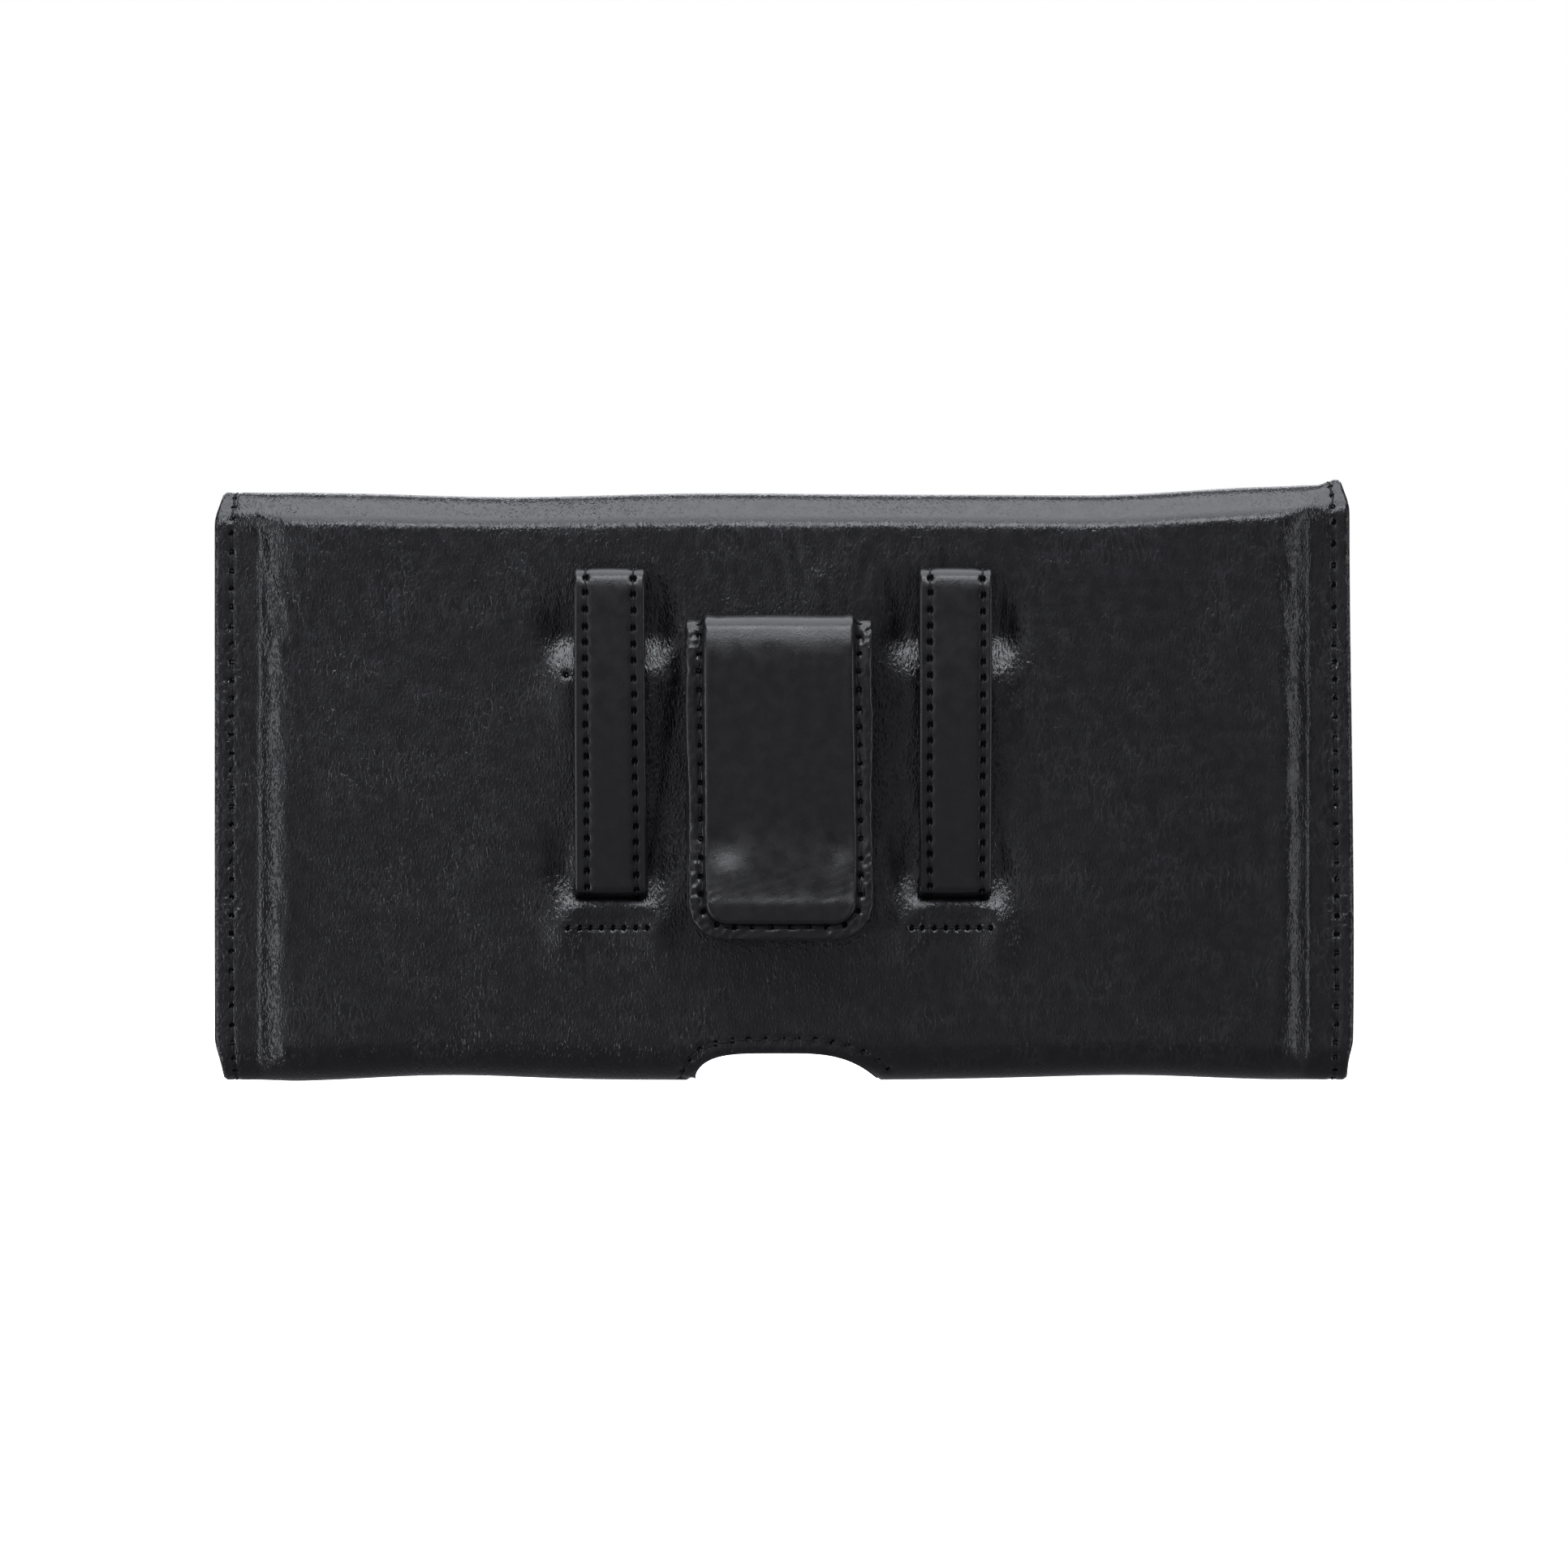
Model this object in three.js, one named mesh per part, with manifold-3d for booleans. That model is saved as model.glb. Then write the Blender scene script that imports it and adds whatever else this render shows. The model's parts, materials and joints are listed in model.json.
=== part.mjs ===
// A horizontal leather belt holster: a pouch with a folding magnetic flap, elastic sides, a thumb
// notch, two belt loops and a leather-covered sprung belt clip.
// Millimetres, +Z up. The belt side faces -Y and the flap side faces +Y.
// The origin is the centre of the underside of the whole object's bounding box.
import * as THREE from "three";
import { mergeVertices } from "three/addons/utils/BufferGeometryUtils.js";
import Module from "manifold-3d";

const wasm = await Module();
wasm.setup();

// ---- Driving dimensions ----
const HEIGHT = 93;
const HALF_WIDTH = 89.6;
const FOLD_HALF_WIDTH = 88.2;
const CAVITY_DEPTH = 10.6;

// Plies of every wall, counted outwards from the cavity: lining, board, leather
const LINING = 0.6;
const BOARD = 1.0;
const LEATHER = 1.3;
const PLY_GAP = 0.1;
const BOARD_NEAR = LINING + PLY_GAP;
const LEATHER_NEAR = BOARD_NEAR + BOARD + PLY_GAP;
const WALL = LEATHER_NEAR + LEATHER;

// Side margins: the walls step towards each other between the body and the side seams
const BODY_EDGE_X = 80.5;
const SEAM_X = 86.9;
const MARGIN_DROP = 2.5;

// Folds between the bodies
const FOLD_GAP = 0.3;
const FRONT_FOLD_GAP = 0.4;
const TOP_CREASE_Z = 87.5;
const BOTTOM_CREASE_Z = 7.5;
const BOTTOM_RADIUS = 4;
const FLAP_CLEARANCE = 0.9;
const FLAP_END_Z = 30;
const FLAP_CORNER = 14;
const FRONT_TOP_Z = 72;
const FRONT_CORNER = 3;
const FLAP_RADIUS = 6.5;
const SPINE_RUN = 5.6;
const SPINE_RADIUS = 7;

// The cut hide narrows towards both folds
const HIDE_NARROWS_BELOW_Z = 7;
const HIDE_NARROWS_ABOVE_Z = 86;

// Stiffening boards, which leave the folds and the side margins free
const BOARD_HALF_WIDTH = 79;
const BACK_BOARD_Z = [9, 86];
const FRONT_BOARD_Z = [10, 70];
const FLAP_BOARD_TOP_Z = 86;
const FLAP_BOARD_INSET = 3;

// Thumb notch through the bottom fold
const NOTCH_HALF_WIDTH = 14.1;
const NOTCH_HEIGHT = 4.4;
const NOTCH_FLAT_HALF_WIDTH = 4;
const NOTCH_SEAM_OFFSET = 2.3;
const NOTCH_SEAM_HALF_WIDTH = 30;

// Elastic gussets
const GUSSET_LOW_Z = 21;
const GUSSET_HIGH_Z = 71.5;
const GUSSET_HALF_WIDTH = 90;
const ELASTIC = 0.6;

// Belt loops
const LOOP_CENTRES = { left: -27.5, right: 26.7 };
const LOOP_WIDTH = 10.9;
const LOOP_TOP_Z = 80.7;
const LOOP_STRAP = 0.9;
const LOOP_LINING = 0.6;
const LOOP_GAP = 4.55;
const LOOP_SEAM_INSET = 1.5;
const LOOP_LOW_SEAM_Z = 24.3;
const LOOP_HIGH_SEAM_Z = 64.2;
const LOOP_ANCHOR_HALF_WIDTH = 6.1;
const LOOP_SIDE_CLEARANCE = 0.4;
const LOOP_STRAIGHT_Z = 36;
const LOOP_LOW_TAIL_Z = [21.5, 28];
const LOOP_LOW_SLIT_Z = [27.1, 30.7];
const LOOP_LOW_WINDOW_Z = [21, 30.7];
const LOOP_HIGH_TAIL_Z = [60.5, 65.6, 68.6];
const LOOP_HIGH_SLIT_Z = [65, 69];
const LOOP_HIGH_WINDOW_Z = [60, 69];
const LOOP_LINING_LOW_Z = 31.55;
const LOOP_LINING_HIGH_Z = 70.5;

// Belt clip
const CLIP_X = -0.8;
const CLIP_COVER_WIDTH = 28.7;
const CLIP_STEEL_WIDTH = 20;
const CLIP_STEEL = 0.8;
const CLIP_COVER = 1.2;
const CLIP_INNER_COVER = 0.8;
const CLIP_TOP_Z = 73.3;
const CLIP_FOOT_Z = 22.5;
const CLIP_CORNER = 6;
const CLIP_SPREAD = 7.9;
const CLIP_HINGE_Z = 66.5;
const CLIP_REAR_LEG_Z = 40;
const CLIP_GRIP_Z = 38;
const CLIP_GRIP_DEPTH = 2;
const CLIP_TIP_Z = 26.6;
const CLIP_BODY_HALF_WIDTH = 11.6;
const CLIP_MARGIN_HALF_WIDTH = 12.7;
const CLIP_SEAM_HALF_WIDTH = 12.9;
const CLIP_SEAM_INSET = 1.9;
const PLATE_HALF_WIDTH = 12;
const PLATE_Z = [39, 69];
const RIVET_HEIGHTS = { upper: 60, lower: 48 };
const RIVET_SHANK_R = 1.5;
const RIVET_HEAD_R = 3;
const RIVET_HEAD = 0.6;
const FIT = 0.15;

// Magnets of the flap closure
const MAGNET_R = 9;
const MAGNET_Z = 42;

// Sewing thread
const THREAD_WIDTH = 0.6;
const THREAD_NEAR = 0.05;
const THREAD_FAR = 0.35;
const THREAD_END = 1;

// ---- Derived places, in the pouch's own frame: y = 0 is the middle of the cavity ----
const CAVITY_Y = CAVITY_DEPTH / 2;
const BACK_Y = -(CAVITY_Y + WALL);
const FLAP_INNER_Y = CAVITY_Y + WALL + FLAP_CLEARANCE;
const FLAP_OUTER_Y = FLAP_INNER_Y + WALL;
const BOARD_MIDDLE_Y = -(CAVITY_Y + BOARD_NEAR + BOARD / 2);
const FAR = 200;

// ---- Materials ----
const material = (color, roughness, metalness = 0) =>
  new THREE.MeshStandardMaterial({ color, roughness, metalness });
const LEATHER_BLACK = material(0x1b1b1e, 0.42);
const LINING_CLOTH = material(0x202022, 0.95);
const STIFF_BOARD = material(0x4a4540, 0.9);
const ELASTIC_BLACK = material(0x141415, 0.9);
const THREAD_BLACK = material(0x0c0c0d, 0.7);
const SPRING_STEEL = material(0x9a9da1, 0.35, 1);
const MAGNET_NICKEL = material(0xb8babd, 0.25, 1);

// ---- Geometry helpers ----

// A line through corners [y, z, radius]; a corner with a radius is rounded by an arc.
function route(corners) {
  const points = [];
  corners.forEach(([y, z, radius = 0], i) => {
    const corner = new THREE.Vector2(y, z);
    if (!radius) {
      points.push(corner);
      return;
    }
    const towards = (k) => new THREE.Vector2(corners[k][0], corners[k][1]).sub(corner).normalize();
    const back = towards(i - 1);
    const on = towards(i + 1);
    const half = Math.acos(THREE.MathUtils.clamp(back.dot(on), -1, 1)) / 2;
    const centre = back.clone().add(on).normalize().multiplyScalar(radius / Math.sin(half)).add(corner);
    const first = back.clone().multiplyScalar(radius / Math.tan(half)).add(corner).sub(centre);
    const turn = (Math.PI - 2 * half) * Math.sign(on.cross(back));
    const steps = Math.ceil(Math.abs(turn) / THREE.MathUtils.degToRad(15));
    const origin = new THREE.Vector2();
    for (let k = 0; k <= steps; k++) {
      points.push(first.clone().rotateAround(origin, (turn * k) / steps).add(centre));
    }
  });
  return points.filter((p, i) => i === 0 || p.distanceTo(points[i - 1]) > 1e-4);
}

// The line moved to the right of its direction of travel.
function offset(points, distance) {
  const rightOf = (a, b) => new THREE.Vector2(b.y - a.y, a.x - b.x).normalize();
  return points.map((p, i) => {
    const last = points.length - 1;
    const before = rightOf(points[Math.max(i - 1, 0)], points[Math.max(i, 1)]);
    const after = rightOf(points[Math.min(i, last - 1)], points[Math.min(i + 1, last)]);
    const scale = distance / (1 + before.dot(after));
    return before.add(after).multiplyScalar(scale).add(p);
  });
}

// The outline of a sheet that lies between two offsets of a line.
function band(points, near, far) {
  return new THREE.Shape([...offset(points, near), ...offset(points, far).reverse()]);
}

function solidOf(geometry) {
  geometry.deleteAttribute("normal");
  geometry.deleteAttribute("uv");
  const merged = mergeVertices(geometry, 1e-4);
  return new wasm.Manifold(
    new wasm.Mesh({
      numProp: 3,
      vertProperties: merged.attributes.position.array,
      triVerts: new Uint32Array(merged.index.array),
    }),
  );
}

// A (y, z) outline swept along X through the given stations; bend(x, y, z) gives each point's new y.
function sweepX(outline, stations, bend = (x, y) => y) {
  const steps = stations.length - 1;
  const geometry = new THREE.ExtrudeGeometry(outline, { depth: 1, steps, bevelEnabled: false });
  const position = geometry.attributes.position;
  for (let i = 0; i < position.count; i++) {
    const x = stations[Math.round(position.getZ(i) * steps)];
    const [y, z] = [position.getX(i), position.getY(i)];
    position.setXYZ(i, x, bend(x, y, z), z);
  }
  return solidOf(geometry);
}

// An (x, z) outline swept along Y from low to high.
function sweepY(outline, low = -FAR, high = FAR) {
  const geometry = new THREE.ExtrudeGeometry(outline, {
    depth: high - low,
    bevelEnabled: false,
    curveSegments: 8,
  });
  return solidOf(geometry.rotateX(Math.PI / 2).translate(0, high, 0));
}

function box(xs, ys, zs) {
  const size = [xs, ys, zs].map(([low, high]) => high - low);
  const middle = [xs, ys, zs].map(([low, high]) => (low + high) / 2);
  return solidOf(new THREE.BoxGeometry(...size).translate(...middle));
}

function discY(radius, x, z, low = -FAR, high = FAR) {
  const geometry = new THREE.CylinderGeometry(radius, radius, high - low, 32);
  return solidOf(geometry.translate(x, (low + high) / 2, z));
}

const around = (centre, half) => [centre - half, centre + half];
const ramp = (value, low, high) => THREE.MathUtils.clamp((value - low) / (high - low), 0, 1);

// How the pouch narrows from the body to the side seams. The sewn margins are skived to match.
function towardsSeam(x, y) {
  const share = ramp(Math.abs(x), BODY_EDGE_X, SEAM_X - 1);
  return y * (1 + (share * MARGIN_DROP) / BACK_Y);
}

// A full-width sheet of the pouch, with its side margins stepped in.
function wallSheet(points, near, far, halfWidth) {
  const stepX = [SEAM_X - 1, (SEAM_X - 1 + BODY_EDGE_X) / 2, BODY_EDGE_X];
  const inner = stepX.filter((x) => x < halfWidth);
  const half = [halfWidth, ...inner];
  const stations = [...half.map((x) => -x), ...half.reverse()];
  return sweepX(band(points, near, far), stations, towardsSeam);
}

// A thread along one side seam.
function sideThread(points, side) {
  const xs = around(side * SEAM_X, THREAD_WIDTH / 2);
  const outline = band(points, WALL + THREAD_NEAR, WALL + THREAD_FAR);
  return sweepX(outline, xs, towardsSeam);
}

// A narrow strip along an (x, z) line.
const ribbon = (points, halfWidth) => band(points, -halfWidth, halfWidth);

// A box-shaped outline with its lower or upper corners rounded.
function tab(halfWidth, low, high, lowRadius, highRadius) {
  const shape = new THREE.Shape();
  shape.moveTo(-halfWidth, high - highRadius);
  shape.lineTo(-halfWidth, low + lowRadius);
  if (lowRadius) shape.absarc(-halfWidth + lowRadius, low + lowRadius, lowRadius, Math.PI, 1.5 * Math.PI);
  if (lowRadius) shape.absarc(halfWidth - lowRadius, low + lowRadius, lowRadius, 1.5 * Math.PI, 0);
  else shape.lineTo(halfWidth, low);
  shape.lineTo(halfWidth, high - highRadius);
  if (highRadius) shape.absarc(halfWidth - highRadius, high - highRadius, highRadius, 0, Math.PI / 2);
  if (highRadius) shape.absarc(-halfWidth + highRadius, high - highRadius, highRadius, Math.PI / 2, Math.PI);
  else shape.lineTo(-halfWidth, high);
  return shape;
}

// The line of a seam that runs down one side of a tab, round its end and up the other side.
function tabSeam(halfWidth, low, high, radius) {
  return route([
    [-halfWidth, high],
    [-halfWidth, low, radius],
    [halfWidth, low, radius],
    [halfWidth, high],
  ]);
}

const pouchGroup = new THREE.Group();

function addPart(name, solid, look) {
  const mesh = solid.getMesh();
  const geometry = new THREE.BufferGeometry();
  geometry.setAttribute("position", new THREE.BufferAttribute(mesh.vertProperties, 3));
  geometry.setIndex(new THREE.BufferAttribute(mesh.triVerts, 1));
  geometry.computeVertexNormals();
  const part = new THREE.Mesh(geometry, look);
  part.name = name;
  pouchGroup.add(part);
}

// ---- Routes of the walls, along the lining's inner face ----
const backRoute = route([
  [-CAVITY_Y, TOP_CREASE_Z - FOLD_GAP],
  [-CAVITY_Y, WALL, BOTTOM_RADIUS],
  [CAVITY_Y, WALL, BOTTOM_RADIUS],
  [CAVITY_Y, BOTTOM_CREASE_Z - FRONT_FOLD_GAP / 2],
]);
const frontRoute = route([
  [CAVITY_Y, BOTTOM_CREASE_Z + FRONT_FOLD_GAP / 2],
  [CAVITY_Y, FRONT_TOP_Z],
]);
const flapRoute = route([
  [FLAP_INNER_Y, FLAP_END_Z],
  [FLAP_INNER_Y, TOP_CREASE_Z - FOLD_GAP],
]);
// The spine's line is its outer face. It slopes up from the crease of the back to the top.
const SPINE_FOOT_Z = TOP_CREASE_Z + FOLD_GAP;
const SPINE_SLOPE = (HEIGHT - SPINE_FOOT_Z) / SPINE_RUN;
const spineSlope = (run) => [BACK_Y + run, SPINE_FOOT_Z + run * SPINE_SLOPE];
// Both ends run on past the creases and are cut off level with them.
const SPINE_OVERRUN = 1.6;
const spineRoute = route([
  [FLAP_OUTER_Y, TOP_CREASE_Z - 2 * SPINE_OVERRUN],
  [FLAP_OUTER_Y, HEIGHT, FLAP_RADIUS],
  [...spineSlope(SPINE_RUN), SPINE_RADIUS],
  spineSlope(SPINE_OVERRUN),
  spineSlope(-SPINE_OVERRUN),
]);

// ---- Outlines of the cut hide ----
const HIDE_TOP_HALF_WIDTH = FOLD_HALF_WIDTH + 0.4;
const rightEdge = [
  [FOLD_HALF_WIDTH, -1],
  [FOLD_HALF_WIDTH, 0],
  [HALF_WIDTH, HIDE_NARROWS_BELOW_Z],
  [HALF_WIDTH, HIDE_NARROWS_ABOVE_Z],
  [HIDE_TOP_HALF_WIDTH, HIDE_NARROWS_ABOVE_Z + 4],
];
const leftEdge = rightEdge.map(([x, z]) => [-x, z]).reverse();
const backOutline = new THREE.Shape([...rightEdge, ...leftEdge].map(([x, z]) => new THREE.Vector2(x, z)));
const notchLine = new THREE.Path();
const NOTCH_SHOULDER = { foot: [11.5, 3.2], head: [9, NOTCH_HEIGHT] };
const [footX, footZ] = NOTCH_SHOULDER.foot;
const [headX, headZ] = NOTCH_SHOULDER.head;
notchLine.moveTo(-NOTCH_HALF_WIDTH - 1, -2);
notchLine.lineTo(-NOTCH_HALF_WIDTH, 0);
notchLine.bezierCurveTo(-footX, footZ, -headX, headZ, -NOTCH_FLAT_HALF_WIDTH, NOTCH_HEIGHT);
notchLine.lineTo(NOTCH_FLAT_HALF_WIDTH, NOTCH_HEIGHT);
notchLine.bezierCurveTo(headX, headZ, footX, footZ, NOTCH_HALF_WIDTH, 0);
notchLine.lineTo(NOTCH_HALF_WIDTH + 1, -2);
const notchPoints = notchLine.getPoints(6);
const notchCut = sweepY(new THREE.Shape(notchPoints));

// ---- Belt loop: strap line from its lower tail, up the front, over and down to its upper tail ----
const LOOP_BACK_Y = BACK_Y - FIT - LOOP_STRAP / 2;
const LOOP_FRONT_Y = LOOP_BACK_Y - LOOP_STRAP - 2 * (0.05 + LOOP_LINING) - LOOP_GAP;
const LOOP_TURN = (LOOP_BACK_Y - LOOP_FRONT_Y) / 2;
const LOOP_FOLD_Z = LOOP_TOP_Z - LOOP_STRAP / 2;
const [LOOP_TAIL_LOW_Z, LOOP_BEND_LOW_Z] = LOOP_LOW_TAIL_Z;
const [LOOP_TAIL_HIGH_Z, LOOP_BEND_IN_Z, LOOP_BEND_OUT_Z] = LOOP_HIGH_TAIL_Z;
const loopFold = [
  [LOOP_FRONT_Y, LOOP_STRAIGHT_Z, 4],
  [LOOP_FRONT_Y, LOOP_FOLD_Z, LOOP_TURN],
  [LOOP_BACK_Y, LOOP_FOLD_Z, LOOP_TURN],
];
const loopStrapRoute = route([
  [BOARD_MIDDLE_Y, LOOP_TAIL_LOW_Z],
  [BOARD_MIDDLE_Y, LOOP_BEND_LOW_Z, 0.8],
  ...loopFold,
  [LOOP_BACK_Y, LOOP_BEND_OUT_Z, 1],
  [BOARD_MIDDLE_Y, LOOP_BEND_IN_Z, 1],
  [BOARD_MIDDLE_Y, LOOP_TAIL_HIGH_Z],
]);
// The lining and the threads begin where the strap leaves its lower slit.
const loopStart = [BACK_Y - 2.2, LOOP_LINING_LOW_Z];
const loopLiningRoute = route([loopStart, ...loopFold, [LOOP_BACK_Y, LOOP_LINING_HIGH_Z]]);
const loopThreadRoute = route([loopStart, ...loopFold.slice(0, 2), [LOOP_BACK_Y - 2, LOOP_FOLD_Z]]);

// A pair of openings for the strap's tails, at the given heights.
function loopOpenings(x, lowZ, highZ) {
  const xs = around(x, LOOP_WIDTH / 2 + LOOP_SIDE_CLEARANCE);
  return box(xs, [-FAR, 0], lowZ).add(box(xs, [-FAR, 0], highZ));
}

const loopSlits = (x) => loopOpenings(x, LOOP_LOW_SLIT_Z, LOOP_HIGH_SLIT_Z);
const loopWindows = (x) => loopOpenings(x, LOOP_LOW_WINDOW_Z, LOOP_HIGH_WINDOW_Z);

// ---- Belt clip lines: the steel's middle, from the rear leg's foot, over the top, down the arm ----
const CLIP_REAR_Y = BACK_Y - PLY_GAP - CLIP_COVER - PLY_GAP - CLIP_STEEL / 2;
const CLIP_ARM_Y = CLIP_REAR_Y - CLIP_SPREAD;
const CLIP_FOLD_Z = CLIP_TOP_Z - CLIP_COVER - PLY_GAP - CLIP_STEEL / 2;
const clipBaseRoute = route([
  [CLIP_REAR_Y, CLIP_REAR_LEG_Z],
  [CLIP_REAR_Y, CLIP_FOLD_Z, CLIP_SPREAD / 2],
  [CLIP_ARM_Y, CLIP_FOLD_Z, CLIP_SPREAD / 2],
  [CLIP_ARM_Y, CLIP_HINGE_Z + FOLD_GAP],
]);
const CLIP_GRIP = [CLIP_ARM_Y + CLIP_GRIP_DEPTH, CLIP_GRIP_Z, 8];
const CLIP_TIP = [CLIP_ARM_Y - 0.4, CLIP_TIP_Z];
const clipArmRoute = route([[CLIP_ARM_Y, CLIP_HINGE_Z - FOLD_GAP], CLIP_GRIP, CLIP_TIP]);
const clipCoverRoute = route([
  [CLIP_ARM_Y, CLIP_HINGE_Z - FOLD_GAP],
  CLIP_GRIP,
  [...CLIP_TIP, 2],
  [CLIP_ARM_Y - 0.2, CLIP_FOOT_Z - 1],
]);
const clipHalf = [CLIP_BODY_HALF_WIDTH, CLIP_MARGIN_HALF_WIDTH, CLIP_COVER_WIDTH / 2];
const clipStations = [...clipHalf.map((x) => -x).reverse(), ...clipHalf].map((x) => x + CLIP_X);

// The outer cover steps down to the inner cover in its sewn margin.
function towardsInnerCover(x, y) {
  return y + CLIP_STEEL * ramp(Math.abs(x - CLIP_X), CLIP_BODY_HALF_WIDTH, CLIP_MARGIN_HALF_WIDTH);
}

function rivetHoles(radius) {
  const [upper, lower] = Object.values(RIVET_HEIGHTS).map((z) => discY(radius, CLIP_X, z, -FAR, 0));
  return upper.add(lower);
}

function addBackPanel() {
  const slits = Object.values(LOOP_CENTRES).map(loopSlits);
  const windows = Object.values(LOOP_CENTRES).map(loopWindows);
  const rivets = rivetHoles(RIVET_SHANK_R + FIT);
  const leather = wallSheet(backRoute, LEATHER_NEAR, WALL, HALF_WIDTH + 1)
    .intersect(sweepY(backOutline))
    .subtract(notchCut)
    .subtract(slits[0])
    .subtract(slits[1])
    .subtract(rivets);
  addPart("back_leather", leather, LEATHER_BLACK);

  const boardXs = around(0, BOARD_HALF_WIDTH);
  const boardYs = around(BOARD_MIDDLE_Y, BOARD / 2);
  const plateWindow = box(
    around(CLIP_X, PLATE_HALF_WIDTH + FIT),
    [-FAR, 0],
    [PLATE_Z[0] - FIT, PLATE_Z[1] + FIT],
  );
  const board = box(boardXs, boardYs, BACK_BOARD_Z)
    .subtract(windows[0])
    .subtract(windows[1])
    .subtract(plateWindow);
  addPart("back_board", board, STIFF_BOARD);
  const plate = box(around(CLIP_X, PLATE_HALF_WIDTH), boardYs, PLATE_Z).subtract(rivets);
  addPart("clip_backing_plate", plate, SPRING_STEEL);

  const lining = wallSheet(backRoute, 0, LINING, HALF_WIDTH - 0.4)
    .intersect(sweepY(backOutline))
    .subtract(notchCut);
  addPart("back_lining", lining, LINING_CLOTH);
}

function addFrontPanel() {
  const outline = sweepY(tab(HALF_WIDTH, -1, FRONT_TOP_Z, 0, FRONT_CORNER));
  const leather = wallSheet(frontRoute, LEATHER_NEAR, WALL, HALF_WIDTH + 1).intersect(outline);
  addPart("front_leather", leather, LEATHER_BLACK);
  const ys = around(-BOARD_MIDDLE_Y, BOARD / 2);
  const window = discY(MAGNET_R + FIT, 0, MAGNET_Z);
  const board = box(around(0, BOARD_HALF_WIDTH), ys, FRONT_BOARD_Z).subtract(window);
  addPart("front_board", board, STIFF_BOARD);
  addPart("front_magnet", discY(MAGNET_R, 0, MAGNET_Z, ...ys), MAGNET_NICKEL);
  addPart("front_lining", wallSheet(frontRoute, 0, LINING, HALF_WIDTH - 0.4), LINING_CLOTH);
  // The seam is drawn upside down, so that it runs round the upper corners.
  const hanging = tabSeam(SEAM_X, -(FRONT_TOP_Z - 2.5), -(BOTTOM_CREASE_Z + 0.5), 2);
  const seam = hanging.map((p) => new THREE.Vector2(p.x, -p.y));
  const thread = wallSheet(frontRoute, WALL + THREAD_NEAR, WALL + THREAD_FAR, HALF_WIDTH).intersect(
    sweepY(ribbon(seam, THREAD_WIDTH / 2)),
  );
  addPart("front_seam_thread", thread, THREAD_BLACK);
}

function addSpine() {
  const aboveCrease = box([-FAR, FAR], [-FAR, FAR], [TOP_CREASE_Z + FOLD_GAP, FAR]);
  const spine = (near, far, halfWidth) =>
    wallSheet(spineRoute, near, far, halfWidth).intersect(aboveCrease);
  addPart("spine_leather", spine(-LEATHER, 0, FOLD_HALF_WIDTH), LEATHER_BLACK);
  const liningFar = -LEATHER - 3 * PLY_GAP;
  addPart("spine_lining", spine(liningFar - LINING, liningFar, FOLD_HALF_WIDTH - 0.6), LINING_CLOTH);
  for (const [side, name] of [[-1, "left"], [1, "right"]]) {
    const xs = around(side * (SEAM_X - 0.4), THREAD_WIDTH / 2);
    const outline = band(spineRoute, THREAD_NEAR, THREAD_FAR);
    const thread = sweepX(outline, xs, towardsSeam).intersect(aboveCrease.translate(0, 0, THREAD_END));
    addPart(`spine_seam_thread_${name}`, thread, THREAD_BLACK);
  }
}

function addFlap() {
  const outline = (inset) =>
    sweepY(tab(FOLD_HALF_WIDTH - inset, FLAP_END_Z + inset, HEIGHT, FLAP_CORNER, 0));
  const sheet = (near, far, inset) =>
    wallSheet(flapRoute, near, far, FOLD_HALF_WIDTH).intersect(outline(inset));
  addPart("flap_leather", sheet(LEATHER_NEAR, WALL, 0), LEATHER_BLACK);
  const ys = around(FLAP_INNER_Y + BOARD_NEAR + BOARD / 2, BOARD / 2);
  const board = sweepY(
    tab(
      BOARD_HALF_WIDTH,
      FLAP_END_Z + FLAP_BOARD_INSET,
      FLAP_BOARD_TOP_Z,
      FLAP_CORNER - FLAP_BOARD_INSET,
      0,
    ),
    ...ys,
  );
  const window = discY(MAGNET_R + FIT, 0, MAGNET_Z);
  addPart("flap_board", board.subtract(window), STIFF_BOARD);
  addPart("flap_magnet", discY(MAGNET_R, 0, MAGNET_Z, ...ys), MAGNET_NICKEL);
  addPart("flap_lining", sheet(0, LINING, 0.5), LINING_CLOTH);
  const seamTop = TOP_CREASE_Z - THREAD_END;
  const seam = tabSeam(SEAM_X - 0.4, FLAP_END_Z + 2.6, seamTop, FLAP_CORNER - 2.4);
  const thread = wallSheet(flapRoute, WALL + THREAD_NEAR, WALL + THREAD_FAR, FOLD_HALF_WIDTH)
    .intersect(sweepY(ribbon(seam, THREAD_WIDTH / 2)));
  addPart("flap_seam_thread", thread, THREAD_BLACK);
}

function addGussets() {
  const legY = towardsSeam(SEAM_X, CAVITY_Y) - PLY_GAP;
  const outerX = GUSSET_HALF_WIDTH - ELASTIC / 2;
  const line = route([
    [SEAM_X, -legY + ELASTIC / 2],
    [outerX, -legY + ELASTIC / 2, 1],
    [outerX, legY - ELASTIC / 2, 1],
    [SEAM_X, legY - ELASTIC / 2],
  ]);
  for (const [side, name] of [[-1, "left"], [1, "right"]]) {
    const sided = line.map((p) => new THREE.Vector2(side * p.x, p.y));
    const geometry = new THREE.ExtrudeGeometry(ribbon(sided, ELASTIC / 2), {
      depth: GUSSET_HIGH_Z - GUSSET_LOW_Z,
      bevelEnabled: false,
    });
    addPart(`elastic_gusset_${name}`, solidOf(geometry.translate(0, 0, GUSSET_LOW_Z)), ELASTIC_BLACK);
  }
}

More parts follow.
